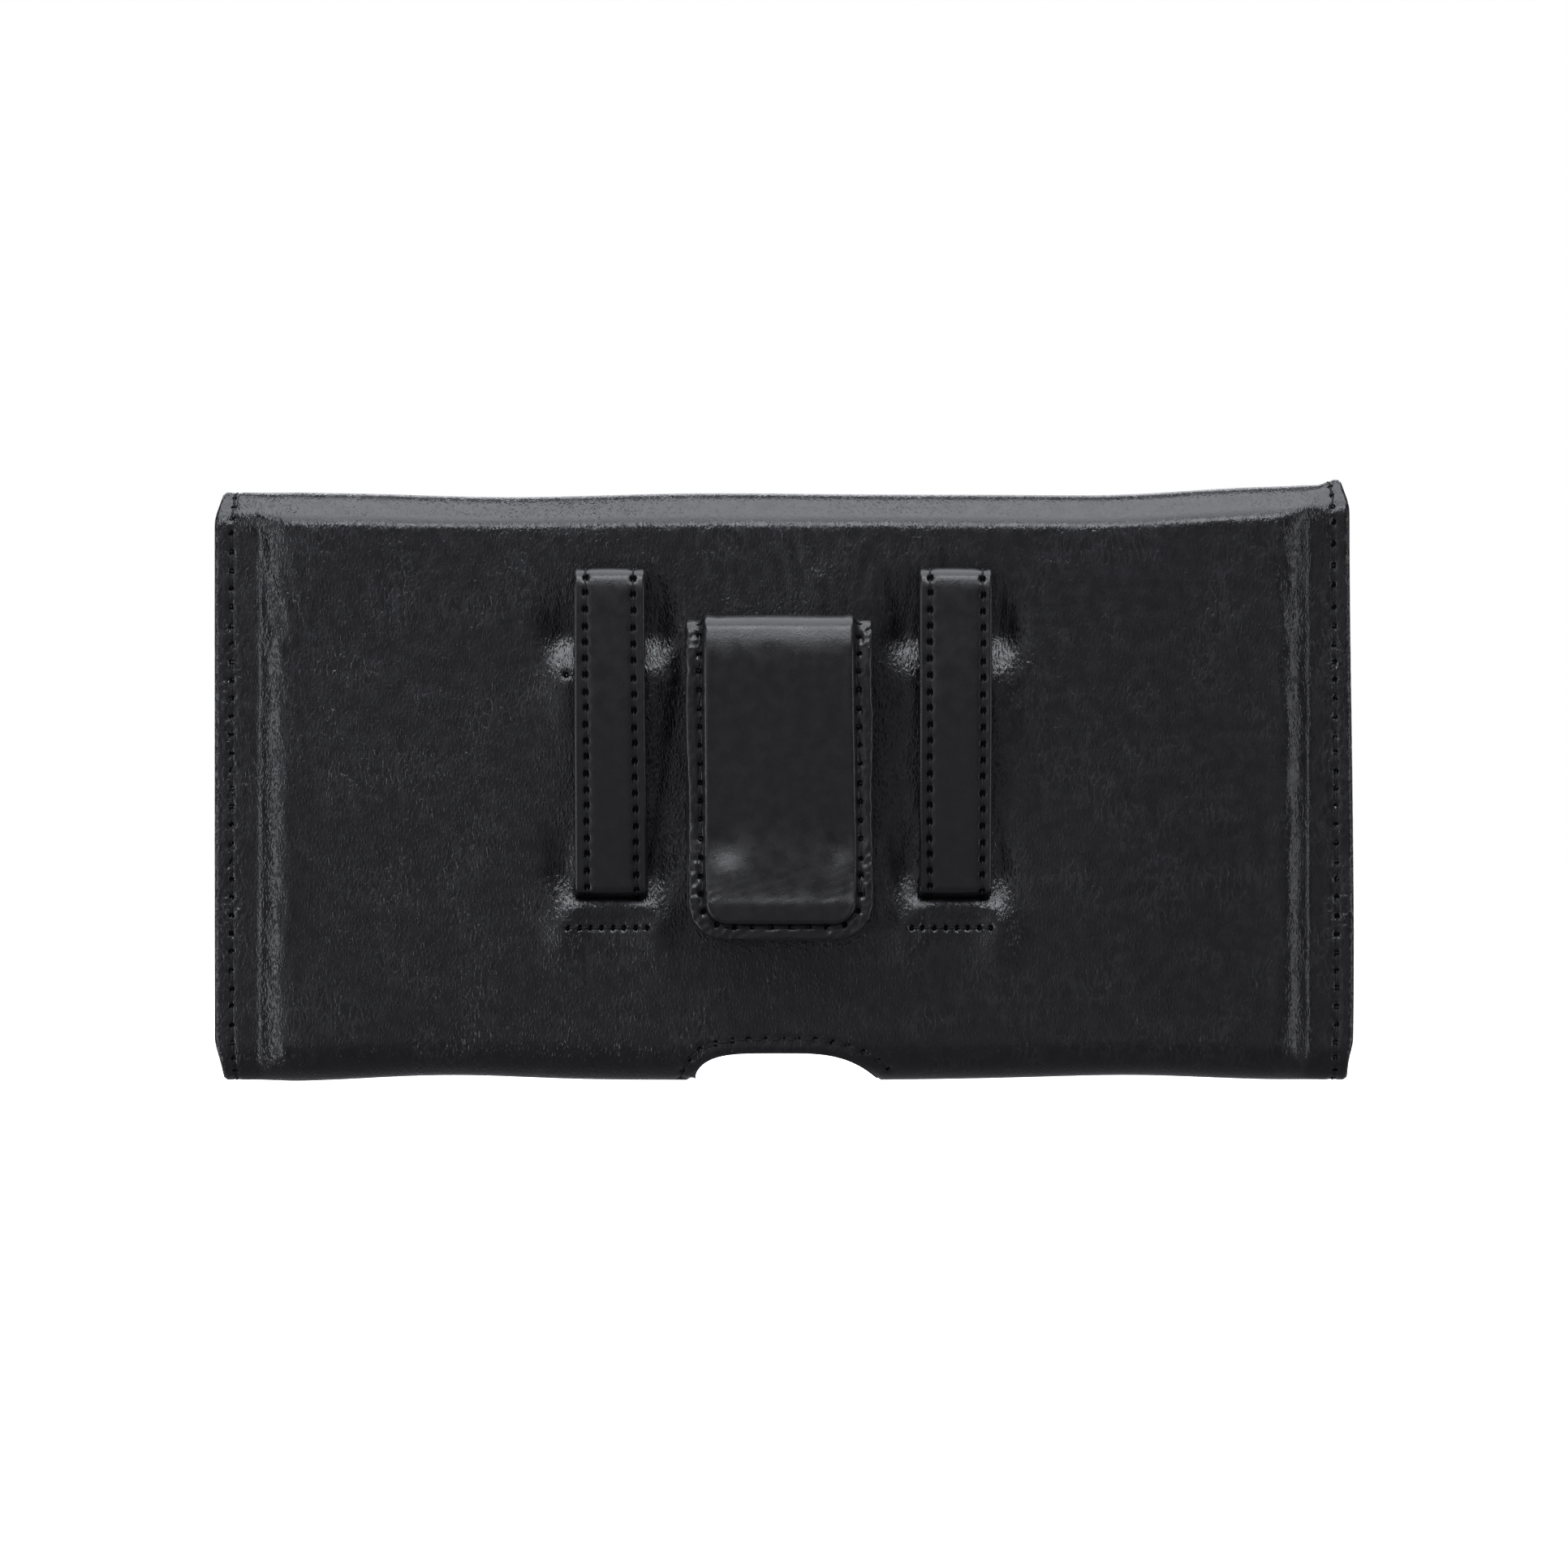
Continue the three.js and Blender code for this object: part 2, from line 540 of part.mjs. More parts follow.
function addSeams() {
  const aboveFloor = box([-FAR, FAR], [-FAR, 0], [1, TOP_CREASE_Z - THREAD_END]);
  addPart("side_seam_thread_left", sideThread(backRoute, -1).intersect(aboveFloor), THREAD_BLACK);
  addPart("side_seam_thread_right", sideThread(backRoute, 1).intersect(aboveFloor), THREAD_BLACK);
  const notchSeam = ribbon(offset(notchPoints, -NOTCH_SEAM_OFFSET), THREAD_WIDTH / 2);
  const ring = wallSheet(backRoute, WALL + THREAD_NEAR, WALL + THREAD_FAR, NOTCH_SEAM_HALF_WIDTH)
    .intersect(sweepY(notchSeam));
  addPart("notch_thread_back", ring.intersect(aboveFloor), THREAD_BLACK);
  const frontHalf = box([-FAR, FAR], [0, FAR], [1, TOP_CREASE_Z]);
  addPart("notch_thread_front", ring.intersect(frontHalf), THREAD_BLACK);
}

function addBeltLoop(name, x) {
  const xs = around(x, LOOP_WIDTH / 2);
  const half = LOOP_STRAP / 2;
  addPart(`${name}_loop_strap`, sweepX(band(loopStrapRoute, -half, half), xs), LEATHER_BLACK);
  const liningNear = half + 0.05;
  const lining = sweepX(band(loopLiningRoute, liningNear, liningNear + LOOP_LINING), xs);
  addPart(`${name}_loop_lining`, lining, LEATHER_BLACK);
  for (const [side, edge] of [[-1, "left"], [1, "right"]]) {
    const threadX = x + side * (LOOP_WIDTH / 2 - LOOP_SEAM_INSET);
    const outline = band(loopThreadRoute, -half - THREAD_FAR, -half - THREAD_NEAR);
    const thread = sweepX(outline, around(threadX, THREAD_WIDTH / 2));
    addPart(`${name}_loop_thread_${edge}`, thread, THREAD_BLACK);
  }
  const anchorYs = [BACK_Y - THREAD_FAR, BACK_Y - THREAD_NEAR];
  const anchors = { lower: LOOP_LOW_SEAM_Z, upper: LOOP_HIGH_SEAM_Z };
  for (const [place, z] of Object.entries(anchors)) {
    const thread = box(around(x, LOOP_ANCHOR_HALF_WIDTH), anchorYs, around(z, THREAD_WIDTH / 2));
    addPart(`${name}_loop_anchor_thread_${place}`, thread, THREAD_BLACK);
  }
}

function addClipBase() {
  const steelXs = around(CLIP_X, CLIP_STEEL_WIDTH / 2);
  const holes = rivetHoles(RIVET_SHANK_R + FIT);
  const half = CLIP_STEEL / 2;
  const steel = sweepX(band(clipBaseRoute, -half, half), steelXs).subtract(holes);
  addPart("clip_spring_base", steel, SPRING_STEEL);
  const coverNear = half + PLY_GAP;
  const coverXs = around(CLIP_X, CLIP_COVER_WIDTH / 2);
  const cover = sweepX(band(clipBaseRoute, coverNear, coverNear + CLIP_COVER), coverXs);
  addPart("clip_cover_tongue", cover.subtract(holes), LEATHER_BLACK);

  const face = CLIP_REAR_Y - half - 0.05;
  const profile = [
    [0, face - RIVET_HEAD],
    [RIVET_HEAD_R - 0.6, face - RIVET_HEAD],
    [RIVET_HEAD_R, face - 0.2],
    [RIVET_HEAD_R, face],
    [RIVET_SHANK_R, face],
    [RIVET_SHANK_R, BOARD_MIDDLE_Y + BOARD / 2],
    [0, BOARD_MIDDLE_Y + BOARD / 2],
  ].map(([r, y]) => new THREE.Vector2(r, y));
  for (const [name, z] of Object.entries(RIVET_HEIGHTS)) {
    const rivet = solidOf(new THREE.LatheGeometry(profile, 24).translate(CLIP_X, 0, z));
    addPart(`clip_rivet_${name}`, rivet, SPRING_STEEL);
  }
}

function addClipArm() {
  const half = CLIP_STEEL / 2;
  const centred = (shape) => sweepY(shape).translate(CLIP_X, 0, 0);
  const steelXs = around(CLIP_X, CLIP_STEEL_WIDTH / 2);
  const steel = sweepX(band(clipArmRoute, -half, half), steelXs).intersect(
    centred(tab(CLIP_STEEL_WIDTH / 2, CLIP_TIP_Z + 0.1, CLIP_TOP_Z, CLIP_CORNER - 1, 0)),
  );
  addPart("clip_spring_arm", steel, SPRING_STEEL);
  const near = half + PLY_GAP;
  const outline = centred(tab(CLIP_COVER_WIDTH / 2, CLIP_FOOT_Z, CLIP_TOP_Z, CLIP_CORNER, 0));
  const coverSheet = (from, to) => sweepX(band(clipCoverRoute, from, to), clipStations, towardsInnerCover);
  addPart("clip_cover_outer", coverSheet(near, near + CLIP_COVER).intersect(outline), LEATHER_BLACK);
  const innerXs = around(CLIP_X, CLIP_COVER_WIDTH / 2);
  const inner = sweepX(band(clipCoverRoute, -near - CLIP_INNER_COVER, -near), innerXs);
  addPart("clip_cover_inner", inner.intersect(outline), LEATHER_BLACK);
  const seam = tabSeam(
    CLIP_SEAM_HALF_WIDTH,
    CLIP_FOOT_Z + CLIP_SEAM_INSET,
    CLIP_HINGE_Z - FOLD_GAP,
    CLIP_CORNER - CLIP_SEAM_INSET,
  );
  const face = near + CLIP_COVER;
  const thread = coverSheet(face + THREAD_NEAR, face + THREAD_FAR)
    .intersect(centred(ribbon(seam, THREAD_WIDTH / 2)));
  addPart("clip_cover_thread", thread, THREAD_BLACK);
}

addBackPanel();
addFrontPanel();
addSpine();
addFlap();
addGussets();
addSeams();
for (const [name, x] of Object.entries(LOOP_CENTRES)) addBeltLoop(name, x);
addClipBase();
addClipArm();

// The holster's frame: the pouch is set so that the origin is under the middle of the whole depth.
const bounds = new THREE.Box3().setFromObject(pouchGroup);
pouchGroup.position.y = -(bounds.min.y + bounds.max.y) / 2;
const holster = new THREE.Group();
holster.add(pouchGroup);

export default holster;
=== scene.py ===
"""The looks of a leather phone belt holster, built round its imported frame.

The frame is +Z up with the belt side towards -Y. Blender works in metres; the shapes here are worked out
in millimetres and scaled when each mesh is made.
"""

import json
import math

import bmesh
import bpy
import numpy as np
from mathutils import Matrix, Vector


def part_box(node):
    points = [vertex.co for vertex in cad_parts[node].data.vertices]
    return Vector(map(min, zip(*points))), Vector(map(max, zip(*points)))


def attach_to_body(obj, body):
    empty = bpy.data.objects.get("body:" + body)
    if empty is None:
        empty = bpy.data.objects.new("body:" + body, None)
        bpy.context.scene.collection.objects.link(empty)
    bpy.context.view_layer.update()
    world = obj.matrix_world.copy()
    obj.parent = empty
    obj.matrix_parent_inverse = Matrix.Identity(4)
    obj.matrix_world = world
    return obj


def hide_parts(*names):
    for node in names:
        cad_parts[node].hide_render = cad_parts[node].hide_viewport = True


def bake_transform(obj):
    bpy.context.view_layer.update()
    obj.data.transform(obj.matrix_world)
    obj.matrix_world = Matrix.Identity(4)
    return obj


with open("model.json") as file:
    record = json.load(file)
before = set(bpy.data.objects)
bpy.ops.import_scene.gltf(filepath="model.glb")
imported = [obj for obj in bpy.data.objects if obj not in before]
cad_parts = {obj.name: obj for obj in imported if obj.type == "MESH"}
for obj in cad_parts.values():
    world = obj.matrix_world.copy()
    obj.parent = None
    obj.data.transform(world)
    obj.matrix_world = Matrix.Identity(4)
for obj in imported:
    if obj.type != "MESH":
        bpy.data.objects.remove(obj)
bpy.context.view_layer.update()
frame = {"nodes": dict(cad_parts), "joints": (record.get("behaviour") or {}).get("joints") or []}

MM = 0.001
random = np.random.default_rng(11)


# ---- Places read from the frame, in millimetres ----
def box(node):
    low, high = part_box(node)
    return np.array(low) / MM, np.array(high) / MM


def joint_place(name):
    joint = next(j for j in frame["joints"] if j["name"] == name)
    return np.array(joint["pos_m"]) / MM


BACK_Y = box("back_leather")[0][1]
FRONT_Y = box("front_leather")[1][1]
FLAP_Y = box("flap_leather")[1][1]
MIDDLE_Y = (BACK_Y + FRONT_Y) / 2
TOP_Z = box("spine_leather")[1][2]
FRONT_TOP_Z = box("front_leather")[1][2]
FLAP_END_Z = box("flap_leather")[0][2]
CREASE_Z = joint_place("spine_fold")[2]
FRONT_CREASE_Z = joint_place("front_give")[2]
HALF_WIDTH = box("back_leather")[1][0]

# ---- Sizes of the hide ----
LEATHER = 1.3
LINING = 0.6
LINING_NEAR = 2.5
SPINE_LINING_NEAR = 1.6
BOARD_HALF_WIDTH = box("back_board")[1][0]
BOARD_LOW_Z = box("front_board")[0][2]
BOARD_TOP_Z = box("front_board")[1][2]
RIDGE_X = 79.0
STEP_START_X = 77.5
STEP_END_X = 82.9
STEP_TAPER = 0.8
STEP_POWER = 2.4
TOP_STEP_X = (81, 88)
TOP_STEP_Z = (85.5, 90)
FOOT_SHARPNESS = 16
MARGIN_SCALE = 0.702
FLAP_HALF_WIDTH = 87.6
FLAP_CORNER = 14
FRONT_CORNER = 3
FOLD_RADIUS = 7.1
SEAMS = {"left": -87.2, "right": 87.2}
SEAM_PITCH = 2.9
NOTCH_LEFT = 14.1
NOTCH_RIGHT = 15.0
NOTCH_HEIGHT = 4.4
NOTCH_LEFT_POWER = 4.5
NOTCH_RIGHT_POWER = 3.3
NOTCH_SEAM_OFFSET = 2.3
NOTCH_PITCH = 2.7
ANCHOR_PITCH = 1.9
PITCH_JITTER = 0.05
ACROSS_JITTER = 0.06
FLAP_SEAM_X = 84.4
FLAP_SEAM_IN = 2.7
FLAP_SEAM_TURN = (12, 11.6)


# ---- Small mathematics ----
def smooth(value, low, high):
    t = np.clip((value - low) / (high - low), 0, 1)
    return t * t * (3 - 2 * t)


def bell(value, width):
    return np.exp(-((value / width) ** 2))


def lopsided(value, below, above):
    """A bell with one width below zero and another above it."""
    return bell(value, np.where(value < 0, below, above))


def corner_cut(distance, radius):
    """How far a rounded corner stands in from its side, at a distance from the sheet's end."""
    left = np.clip(distance, 0, radius)
    return radius - np.sqrt(np.maximum(radius**2 - (radius - left) ** 2, 0))


class Waves:
    """Band-limited noise in two dimensions: a sum of waves in random directions."""

    def __init__(self, wavelength, spread=1.6, count=18, stretch=1.0):
        angle = random.uniform(0, 2 * math.pi, count)
        length = wavelength * spread ** random.uniform(-1, 1, count)
        self.a = np.cos(angle) * 2 * math.pi / length
        self.b = np.sin(angle) * 2 * math.pi / (length * stretch)
        self.phase = random.uniform(0, 2 * math.pi, count)
        self.scale = math.sqrt(2 / count)

    def at(self, a, b):
        total = np.zeros(np.broadcast(a, b).shape)
        for wave_a, wave_b, phase in zip(self.a, self.b, self.phase):
            total += np.sin(a * wave_a + b * wave_b + phase)
        return total * self.scale


class Path:
    """A line through corners (y, z, radius), rounded by arcs, and measured along its length."""

    def __init__(self, corners):
        points = [np.array(corners[0][:2], float)]
        for before, corner, after in zip(corners, corners[1:], corners[2:]):
            points += self.arc(*(np.array(c[:2], float) for c in (before, corner, after)), corner[2])
        points.append(np.array(corners[-1][:2], float))
        fine = [points[0]]
        for a, b in zip(points, points[1:]):
            count = max(1, int(np.linalg.norm(b - a) / 0.1))
            fine += [a + (b - a) * k / count for k in range(1, count + 1)]
        self.points = np.array(fine)
        self.lengths = np.concatenate([[0], np.cumsum(np.linalg.norm(np.diff(self.points, axis=0), axis=1))])
        self.end = self.lengths[-1]

    @staticmethod
    def arc(before, corner, after, radius):
        back = (before - corner) / np.linalg.norm(before - corner)
        on = (after - corner) / np.linalg.norm(after - corner)
        half = math.acos(np.clip(back @ on, -1, 1)) / 2
        centre = corner + (back + on) / np.linalg.norm(back + on) * radius / math.sin(half)
        first = corner + back * radius / math.tan(half) - centre
        turn = (math.pi - 2 * half) * np.sign(on[0] * back[1] - on[1] * back[0])
        points = []
        for k in range(17):
            c, s = math.cos(turn * k / 16), math.sin(turn * k / 16)
            points.append(centre + [first[0] * c - first[1] * s, first[0] * s + first[1] * c])
        return points

    def at(self, s):
        y = np.interp(s, self.lengths, self.points[:, 0])
        z = np.interp(s, self.lengths, self.points[:, 1])
        return y, z

    def normal(self, s):
        """The unit normal on the left of the direction of travel, softened over half a millimetre."""
        ya, za = self.at(np.clip(s - 0.25, 0, self.end))
        yb, zb = self.at(np.clip(s + 0.25, 0, self.end))
        length = np.hypot(yb - ya, zb - za)
        return -(zb - za) / length, (yb - ya) / length

    def near(self, y, z):
        return self.lengths[np.argmin(np.hypot(self.points[:, 0] - y, self.points[:, 1] - z))]


# ---- The wrap of the hide: down the front, under, up the back, over the top and down the flap ----
wrap = Path(
    [
        (FRONT_Y, FRONT_TOP_Z),
        (FRONT_Y, 0, FOLD_RADIUS),
        (BACK_Y, 0, FOLD_RADIUS),
        (BACK_Y, CREASE_Z + 1.0, 3),
        (BACK_Y + 5.6, TOP_Z, 6),
        (FLAP_Y, TOP_Z, 6.5),
        (FLAP_Y, FLAP_END_Z),
    ]
)
S_FRONT_JOIN = wrap.near(FRONT_Y, 4.9)
S_BOTTOM = wrap.near(MIDDLE_Y, 0)
S_CREASE = wrap.near(BACK_Y, CREASE_Z)
S_SPINE_JOIN = wrap.near(MIDDLE_Y + 2.4, TOP_Z)
S_FLAP_CREASE = wrap.near(FLAP_Y, CREASE_Z)


def narrow(x, y, z):
    """The walls step towards each other outside the body, down to the sewn side margins."""
    start = STEP_START_X - STEP_TAPER * smooth(z, 60, 84)
    t = np.clip((np.abs(x) - start) / (STEP_END_X - start), 0, 2)
    foot = np.exp(-FOOT_SHARPNESS * t**STEP_POWER) + math.exp(-FOOT_SHARPNESS)
    on_wall = np.clip(-np.log(foot) / FOOT_SHARPNESS, 0, 1)
    at_top = smooth(z, *TOP_STEP_Z)
    share = on_wall * (1 - at_top) + smooth(np.abs(x), *TOP_STEP_X) * at_top
    return MIDDLE_Y + (y - MIDDLE_Y) * (1 - (1 - MARGIN_SCALE) * share)


def sag(x, z):
    """How the hand-folded top and bottom folds wander up and down."""
    wave = -0.1 + 0.1 * np.cos(x / 13)
    corners = 1.5 * smooth(x, 48, 86) + 0.35 * smooth(-x, 70, 88) + 0.9 * smooth(x, 84.5, 88)
    bottom = 0.4 * bell(x + 50, 18) + 0.85 * bell(x - 57, 17)
    return (wave + corners) * smooth(z, 72, 90) + bottom * (1 - smooth(z, 0, 16))


def edge_drift(x, z):
    """The sides aren't cut quite straight: the left edge stands out, the right one leans in at the top."""
    right = 0.35 * bell(z - 20, 26) - 0.35 * smooth(z, 45, 88) + 0.5 * bell(z, 3)
    return smooth(x, 83, 89) * right - 0.25 * smooth(-x, 83, 89)


def half_width(s):
    """Half the width of the hide along the wrap: full on the walls, drawn in at the folds."""
    y, z = wrap.at(s)
    width = HALF_WIDTH + 0.15 - 1.1 * (1 - smooth(z, 0, 7))
    width -= 1.0 * smooth(z, 88.5, TOP_Z + 0.6)
    flap = smooth(s, S_FLAP_CREASE - 12, S_FLAP_CREASE)
    width = width * (1 - flap) + FLAP_HALF_WIDTH * flap
    return width - corner_cut(wrap.end - s, FLAP_CORNER) - corner_cut(s, FRONT_CORNER)


def notch_top(x):
    """Height of the thumb notch's edge above the underside: steep on the left, slacker on the right."""
    left = np.sqrt(np.maximum(1 - np.minimum(-x / NOTCH_LEFT, 1) ** NOTCH_LEFT_POWER, 0))
    right = np.maximum(1 - (np.maximum(x, 0) / NOTCH_RIGHT) ** NOTCH_RIGHT_POWER, 0)
    return NOTCH_HEIGHT * np.where(x < 0, left, right)


# ---- Stitch holes: (x, s) places along each seam ----
def evenly(points, pitch):
    """Places a stitch length apart along a line of (x, s) points, jittered like sewing by eye."""
    points = np.array(points, float)
    lengths = np.concatenate([[0], np.cumsum(np.linalg.norm(np.diff(points, axis=0), axis=1))])
    count = max(1, round(lengths[-1] / pitch))
    at = np.linspace(0, lengths[-1], count + 1)
    at[1:-1] += random.uniform(-PITCH_JITTER, PITCH_JITTER, count - 1) * pitch
    x = np.interp(at, lengths, points[:, 0]) + random.uniform(-ACROSS_JITTER, ACROSS_JITTER, count + 1)
    return np.stack([x, np.interp(at, lengths, points[:, 1])], 1)


def back_s(z):
    """Place along the wrap of a height on the back wall or the back half of the bottom fold."""
    part = (wrap.lengths > S_BOTTOM) & (wrap.lengths < S_CREASE + 8)
    return np.interp(z, wrap.points[part, 1], wrap.lengths[part])


def front_s(z):
    """Place along the wrap of a height on the front wall or the front half of the bottom fold."""
    part = wrap.lengths < S_BOTTOM
    return np.interp(-z, -wrap.points[part, 1], wrap.lengths[part])


def read_loops():
    """Each belt loop's place in the frame, in millimetres; a seam runs in the middle of its thread."""
    thread_half = 0.3
    found = {}
    for side in ("left", "right"):
        low, high = box(f"{side}_loop_strap")
        found[side] = {
            "x": (low[0] + high[0]) / 2,
            "half": (high[0] - low[0]) / 2,
            "front": low[1],
            "top": high[2],
            "lower_seam": box(f"{side}_loop_anchor_thread_lower")[0][2] + thread_half,
            "upper_seam": box(f"{side}_loop_anchor_thread_upper")[0][2] + thread_half,
        }
    return found


loops = read_loops()
SLIT_Z = 27.2


def notch_line():
    """The line of the thumb notch's stitches, set off from its edge, as (x, z) points."""
    left = -NOTCH_LEFT * np.cos(np.linspace(0.01, 1.5, 16))
    x = np.concatenate([left, NOTCH_RIGHT * np.linspace(0, 0.995, 16)])
    z = notch_top(x)
    run, rise = np.gradient(x), np.gradient(z)
    slope = np.hypot(run, rise)
    return zip(x - rise / slope * NOTCH_SEAM_OFFSET, np.maximum(z + run / slope * NOTCH_SEAM_OFFSET, 0.25))


def flap_line():
    """The line of the flap's stitches, down one side, round both corners and up the other."""
    turn_x, turn_s = FLAP_SEAM_TURN
    end = wrap.end - FLAP_SEAM_IN - turn_s
    angles = np.linspace(0, math.pi / 2, 9)
    left = [(-FLAP_SEAM_X + turn_x - turn_x * math.cos(a), end + turn_s * math.sin(a)) for a in angles]
    top = (SEAMS["right"] - 1.2, S_FLAP_CREASE + 1.4)
    return [(-top[0], top[1])] + left + [(-x, s) for x, s in reversed(left)] + [top]


def front_line():
    """The line of the front's stitches, up both sides and along its top edge."""
    side, start, corner, inset = SEAMS["right"], S_FRONT_JOIN - 1.2, 4.5, 2.6
    right = [(side - 2, inset), (side, corner), (side, start)]
    return [(-x, s) for x, s in reversed(right)] + right


def plan_hide_seams():
    """The stitch holes of every seam in the hide, as (x, s) places."""
    seams = {}
    for side, x in SEAMS.items():
        way = math.copysign(1, x)
        up_the_back = [(x - 0.6 * way, S_BOTTOM), (x, back_s(9)), (x, S_CREASE - 1.2)]
        to_the_join = [(x, S_CREASE + 1.4), (x - 0.6 * way, S_SPINE_JOIN - 0.5)]
        past_the_join = [(x - 0.7 * way, S_SPINE_JOIN + 1.0), (x - 1.2 * way, S_FLAP_CREASE - 1)]
        seams[f"side_seam_{side}"] = evenly(up_the_back, SEAM_PITCH)
        seams[f"spine_seam_{side}"] = evenly(to_the_join, SEAM_PITCH)
        seams[f"spine_front_seam_{side}"] = evenly(past_the_join, SEAM_PITCH)
    notch = list(notch_line())
    seams["notch_seam_back"] = evenly([(x, back_s(z)) for x, z in notch], NOTCH_PITCH)
    seams["notch_seam_front"] = evenly([(x, front_s(z)) for x, z in notch], NOTCH_PITCH)
    anchor_reach = {
        "left": {"lower": (-6.6, 5.9), "upper": (-6.8, 4.9)},
        "right": {"lower": (-6.6, 5.9), "upper": (-5.0, 4.9)},
    }
    for side, loop in loops.items():
        for place, (start, end) in anchor_reach[side].items():
            s = back_s(loop[f"{place}_seam"])
            row = [(loop["x"] + start, s), (loop["x"] + end, s)]
            seams[f"{side}_anchor_{place}"] = evenly(row, ANCHOR_PITCH)
    seams["flap_seam"] = evenly(flap_line(), SEAM_PITCH)
    seams["front_seam"] = evenly(front_line(), SEAM_PITCH)
    return seams


hide_seams = plan_hide_seams()
ANCHOR_SEAMS = [holes for name, holes in hide_seams.items() if "anchor" in name]
OTHER_SEAMS = [holes for name, holes in hide_seams.items() if "anchor" not in name]

# ---- Relief of the hide's outer face ----
undulation = Waves(46, 1.5, 14)
pucker = Waves(1.25, 1.4, 30)
creases = Waves(2.6, 1.7, 34, stretch=2.8)
wander = Waves(20, 1.5, 10)


def upper_dimple(reach, high, outer):
    """The hide is drawn in above a loop's upper seam, and swells on both sides of the seam."""
    drawn_in = 1.35 * lopsided(high - 7.0, 4.2, 6.0) * (1 - smooth(reach, 7, 13))
    swell = np.where(outer, 1.0, 0.62) * bell(reach - 6.4, np.where(outer, 3.9, 3.0))
    return swell * lopsided(high + 1.8, 8.0, 4.4) - drawn_in


def lower_dimple(x, reach, low, outer):
    """The hide dips and swells beside a loop's tail, and lifts in a lip over the tail, below the slit."""
    beside = bell(reach - 7.2, 2.8)
    depth = np.where(outer, 1.1, 0.75) * lopsided(low + 0.2, 5.0, 3.6) * beside
    depth -= 1.2 * lopsided(low - 9.5, 4.2, 6.0) * beside
    wave = 0.06 * np.sin(x * 1.1)
    lip = smooth(low, 0.8, 2.9) * (1 - smooth(low, 3.0 + wave, 5.2 + wave))
    slit = smooth(low, 4.5 + wave, 5.2 + wave) * (1 - smooth(low, 6, 9))
    return depth + 0.42 * lip * (1 - smooth(reach, 4.6, 8.2)) - 1.2 * slit * (1 - smooth(reach, 4.4, 5.6))


def dimples(x, z):
    """The dents and swellings round both belt loops; outer is the side away from the clip."""
    depth = np.zeros(x.shape)
    for loop in loops.values():
        reach = np.abs(x - loop["x"])
        outer = x * loop["x"] > loop["x"] ** 2
        depth += upper_dimple(reach, z - loop["upper_seam"], outer)
        depth += lower_dimple(x, reach, z - loop["lower_seam"], outer)
    return depth


def seam_relief(x, s, seams, groove_depth, pit_depth):
    """A row of stitches sinks into the leather, with a pit at each needle hole."""
    reach, groove_width, pit_width = 1.6, 0.55, 0.5
    depth = np.zeros(x.shape)
    for holes in seams:
        low, high = holes.min(0) - reach, holes.max(0) + reach
        near = (x > low[0]) & (x < high[0]) & (s > low[1]) & (s < high[1])
        if not near.any():
            continue
        xs, ss = x[near], s[near]
        groove = np.full(xs.shape, np.inf)
        pits = bell(np.hypot(xs - holes[-1][0], ss - holes[-1][1]), pit_width)
        for a, b in zip(holes, holes[1:]):
            d = b - a
            t = np.clip(((xs - a[0]) * d[0] + (ss - a[1]) * d[1]) / (d @ d), 0, 1)
            groove = np.minimum(groove, np.hypot(xs - a[0] - t * d[0], ss - a[1] - t * d[1]))
            pits += bell(np.hypot(xs - a[0], ss - a[1]), pit_width)
        depth[near] -= groove_depth * bell(groove, groove_width) + pit_depth * pits
    return depth


def crown(x, z):
    """The walls bow outwards in the middle, over the phone."""
    return 0.5 * (1 - (x / 84) ** 2) * np.clip(1 - ((z - 44) / 46) ** 2, 0, 1)


def corner_ridges(x, s, z):
    """The moulded ridge near each end of the body."""
    along = smooth(z, 4, 26) * (1 - smooth(z, 62, 82))
    ridge_x = RIDGE_X + 0.15 * wander.at(s, np.zeros(s.shape))
    return 0.2 * bell(np.abs(x) - ridge_x, 2.2) * along


def side_puckers(x, s, z, wall):
    """The leather is crumpled along the side seams, most of all at mid-height."""
    worn = smooth(z, 18, 26) * (1 - smooth(z, 68, 75)) * wall
    seam = np.minimum(np.abs(x - SEAMS["left"]), np.abs(x - SEAMS["right"]))
    return 0.09 * pucker.at(x, s) * bell(seam - 0.2, 1.9) * (0.1 + worn)


def drape(x, z):
    """The slanting fold that hangs between the left loop and the clip."""
    across = x + 16.6 + 0.115 * (70 - z)
    drawn = smooth(z, 30, 40) * (1 - smooth(z, 66, 73)) * (1 - smooth(x, -12, -6))
    return 0.33 * smooth(across, -1.3, 0.9) * (1 - smooth(across, 0.9, 6.5)) * drawn


def crumples(x, s, z):
    """Fine creases, strongest above the clip, at the top left, beside the right loop and by the ridges."""
    strength = bell(z - 81, 6) * bell(x - 8, 17) + 0.7 * bell(z - 78, 12) * bell(x + 68, 18)
    strength += 0.4 * bell(x - 46, 12) * bell(z - 45, 30) + 0.5 * bell(np.abs(x) - 80, 3)
    return 0.06 * creases.at(x, s) * (strength + 0.25)


def rounded_edges(x, s, z):
    """The outer face falls away at the sheet's sides and ends and round the thumb notch."""
    side = half_width(s) - np.abs(x)
    end = np.minimum(s, wrap.end - s)
    notch = np.where(np.abs(x) < NOTCH_RIGHT, np.abs(z - notch_top(x)), np.inf)
    fall = 0.42 * (1 - smooth(side, 0, 0.75)) ** 2 + 0.42 * (1 - smooth(end, 0, 0.75)) ** 2
    return fall + 0.35 * (1 - smooth(notch, 0, 0.8))


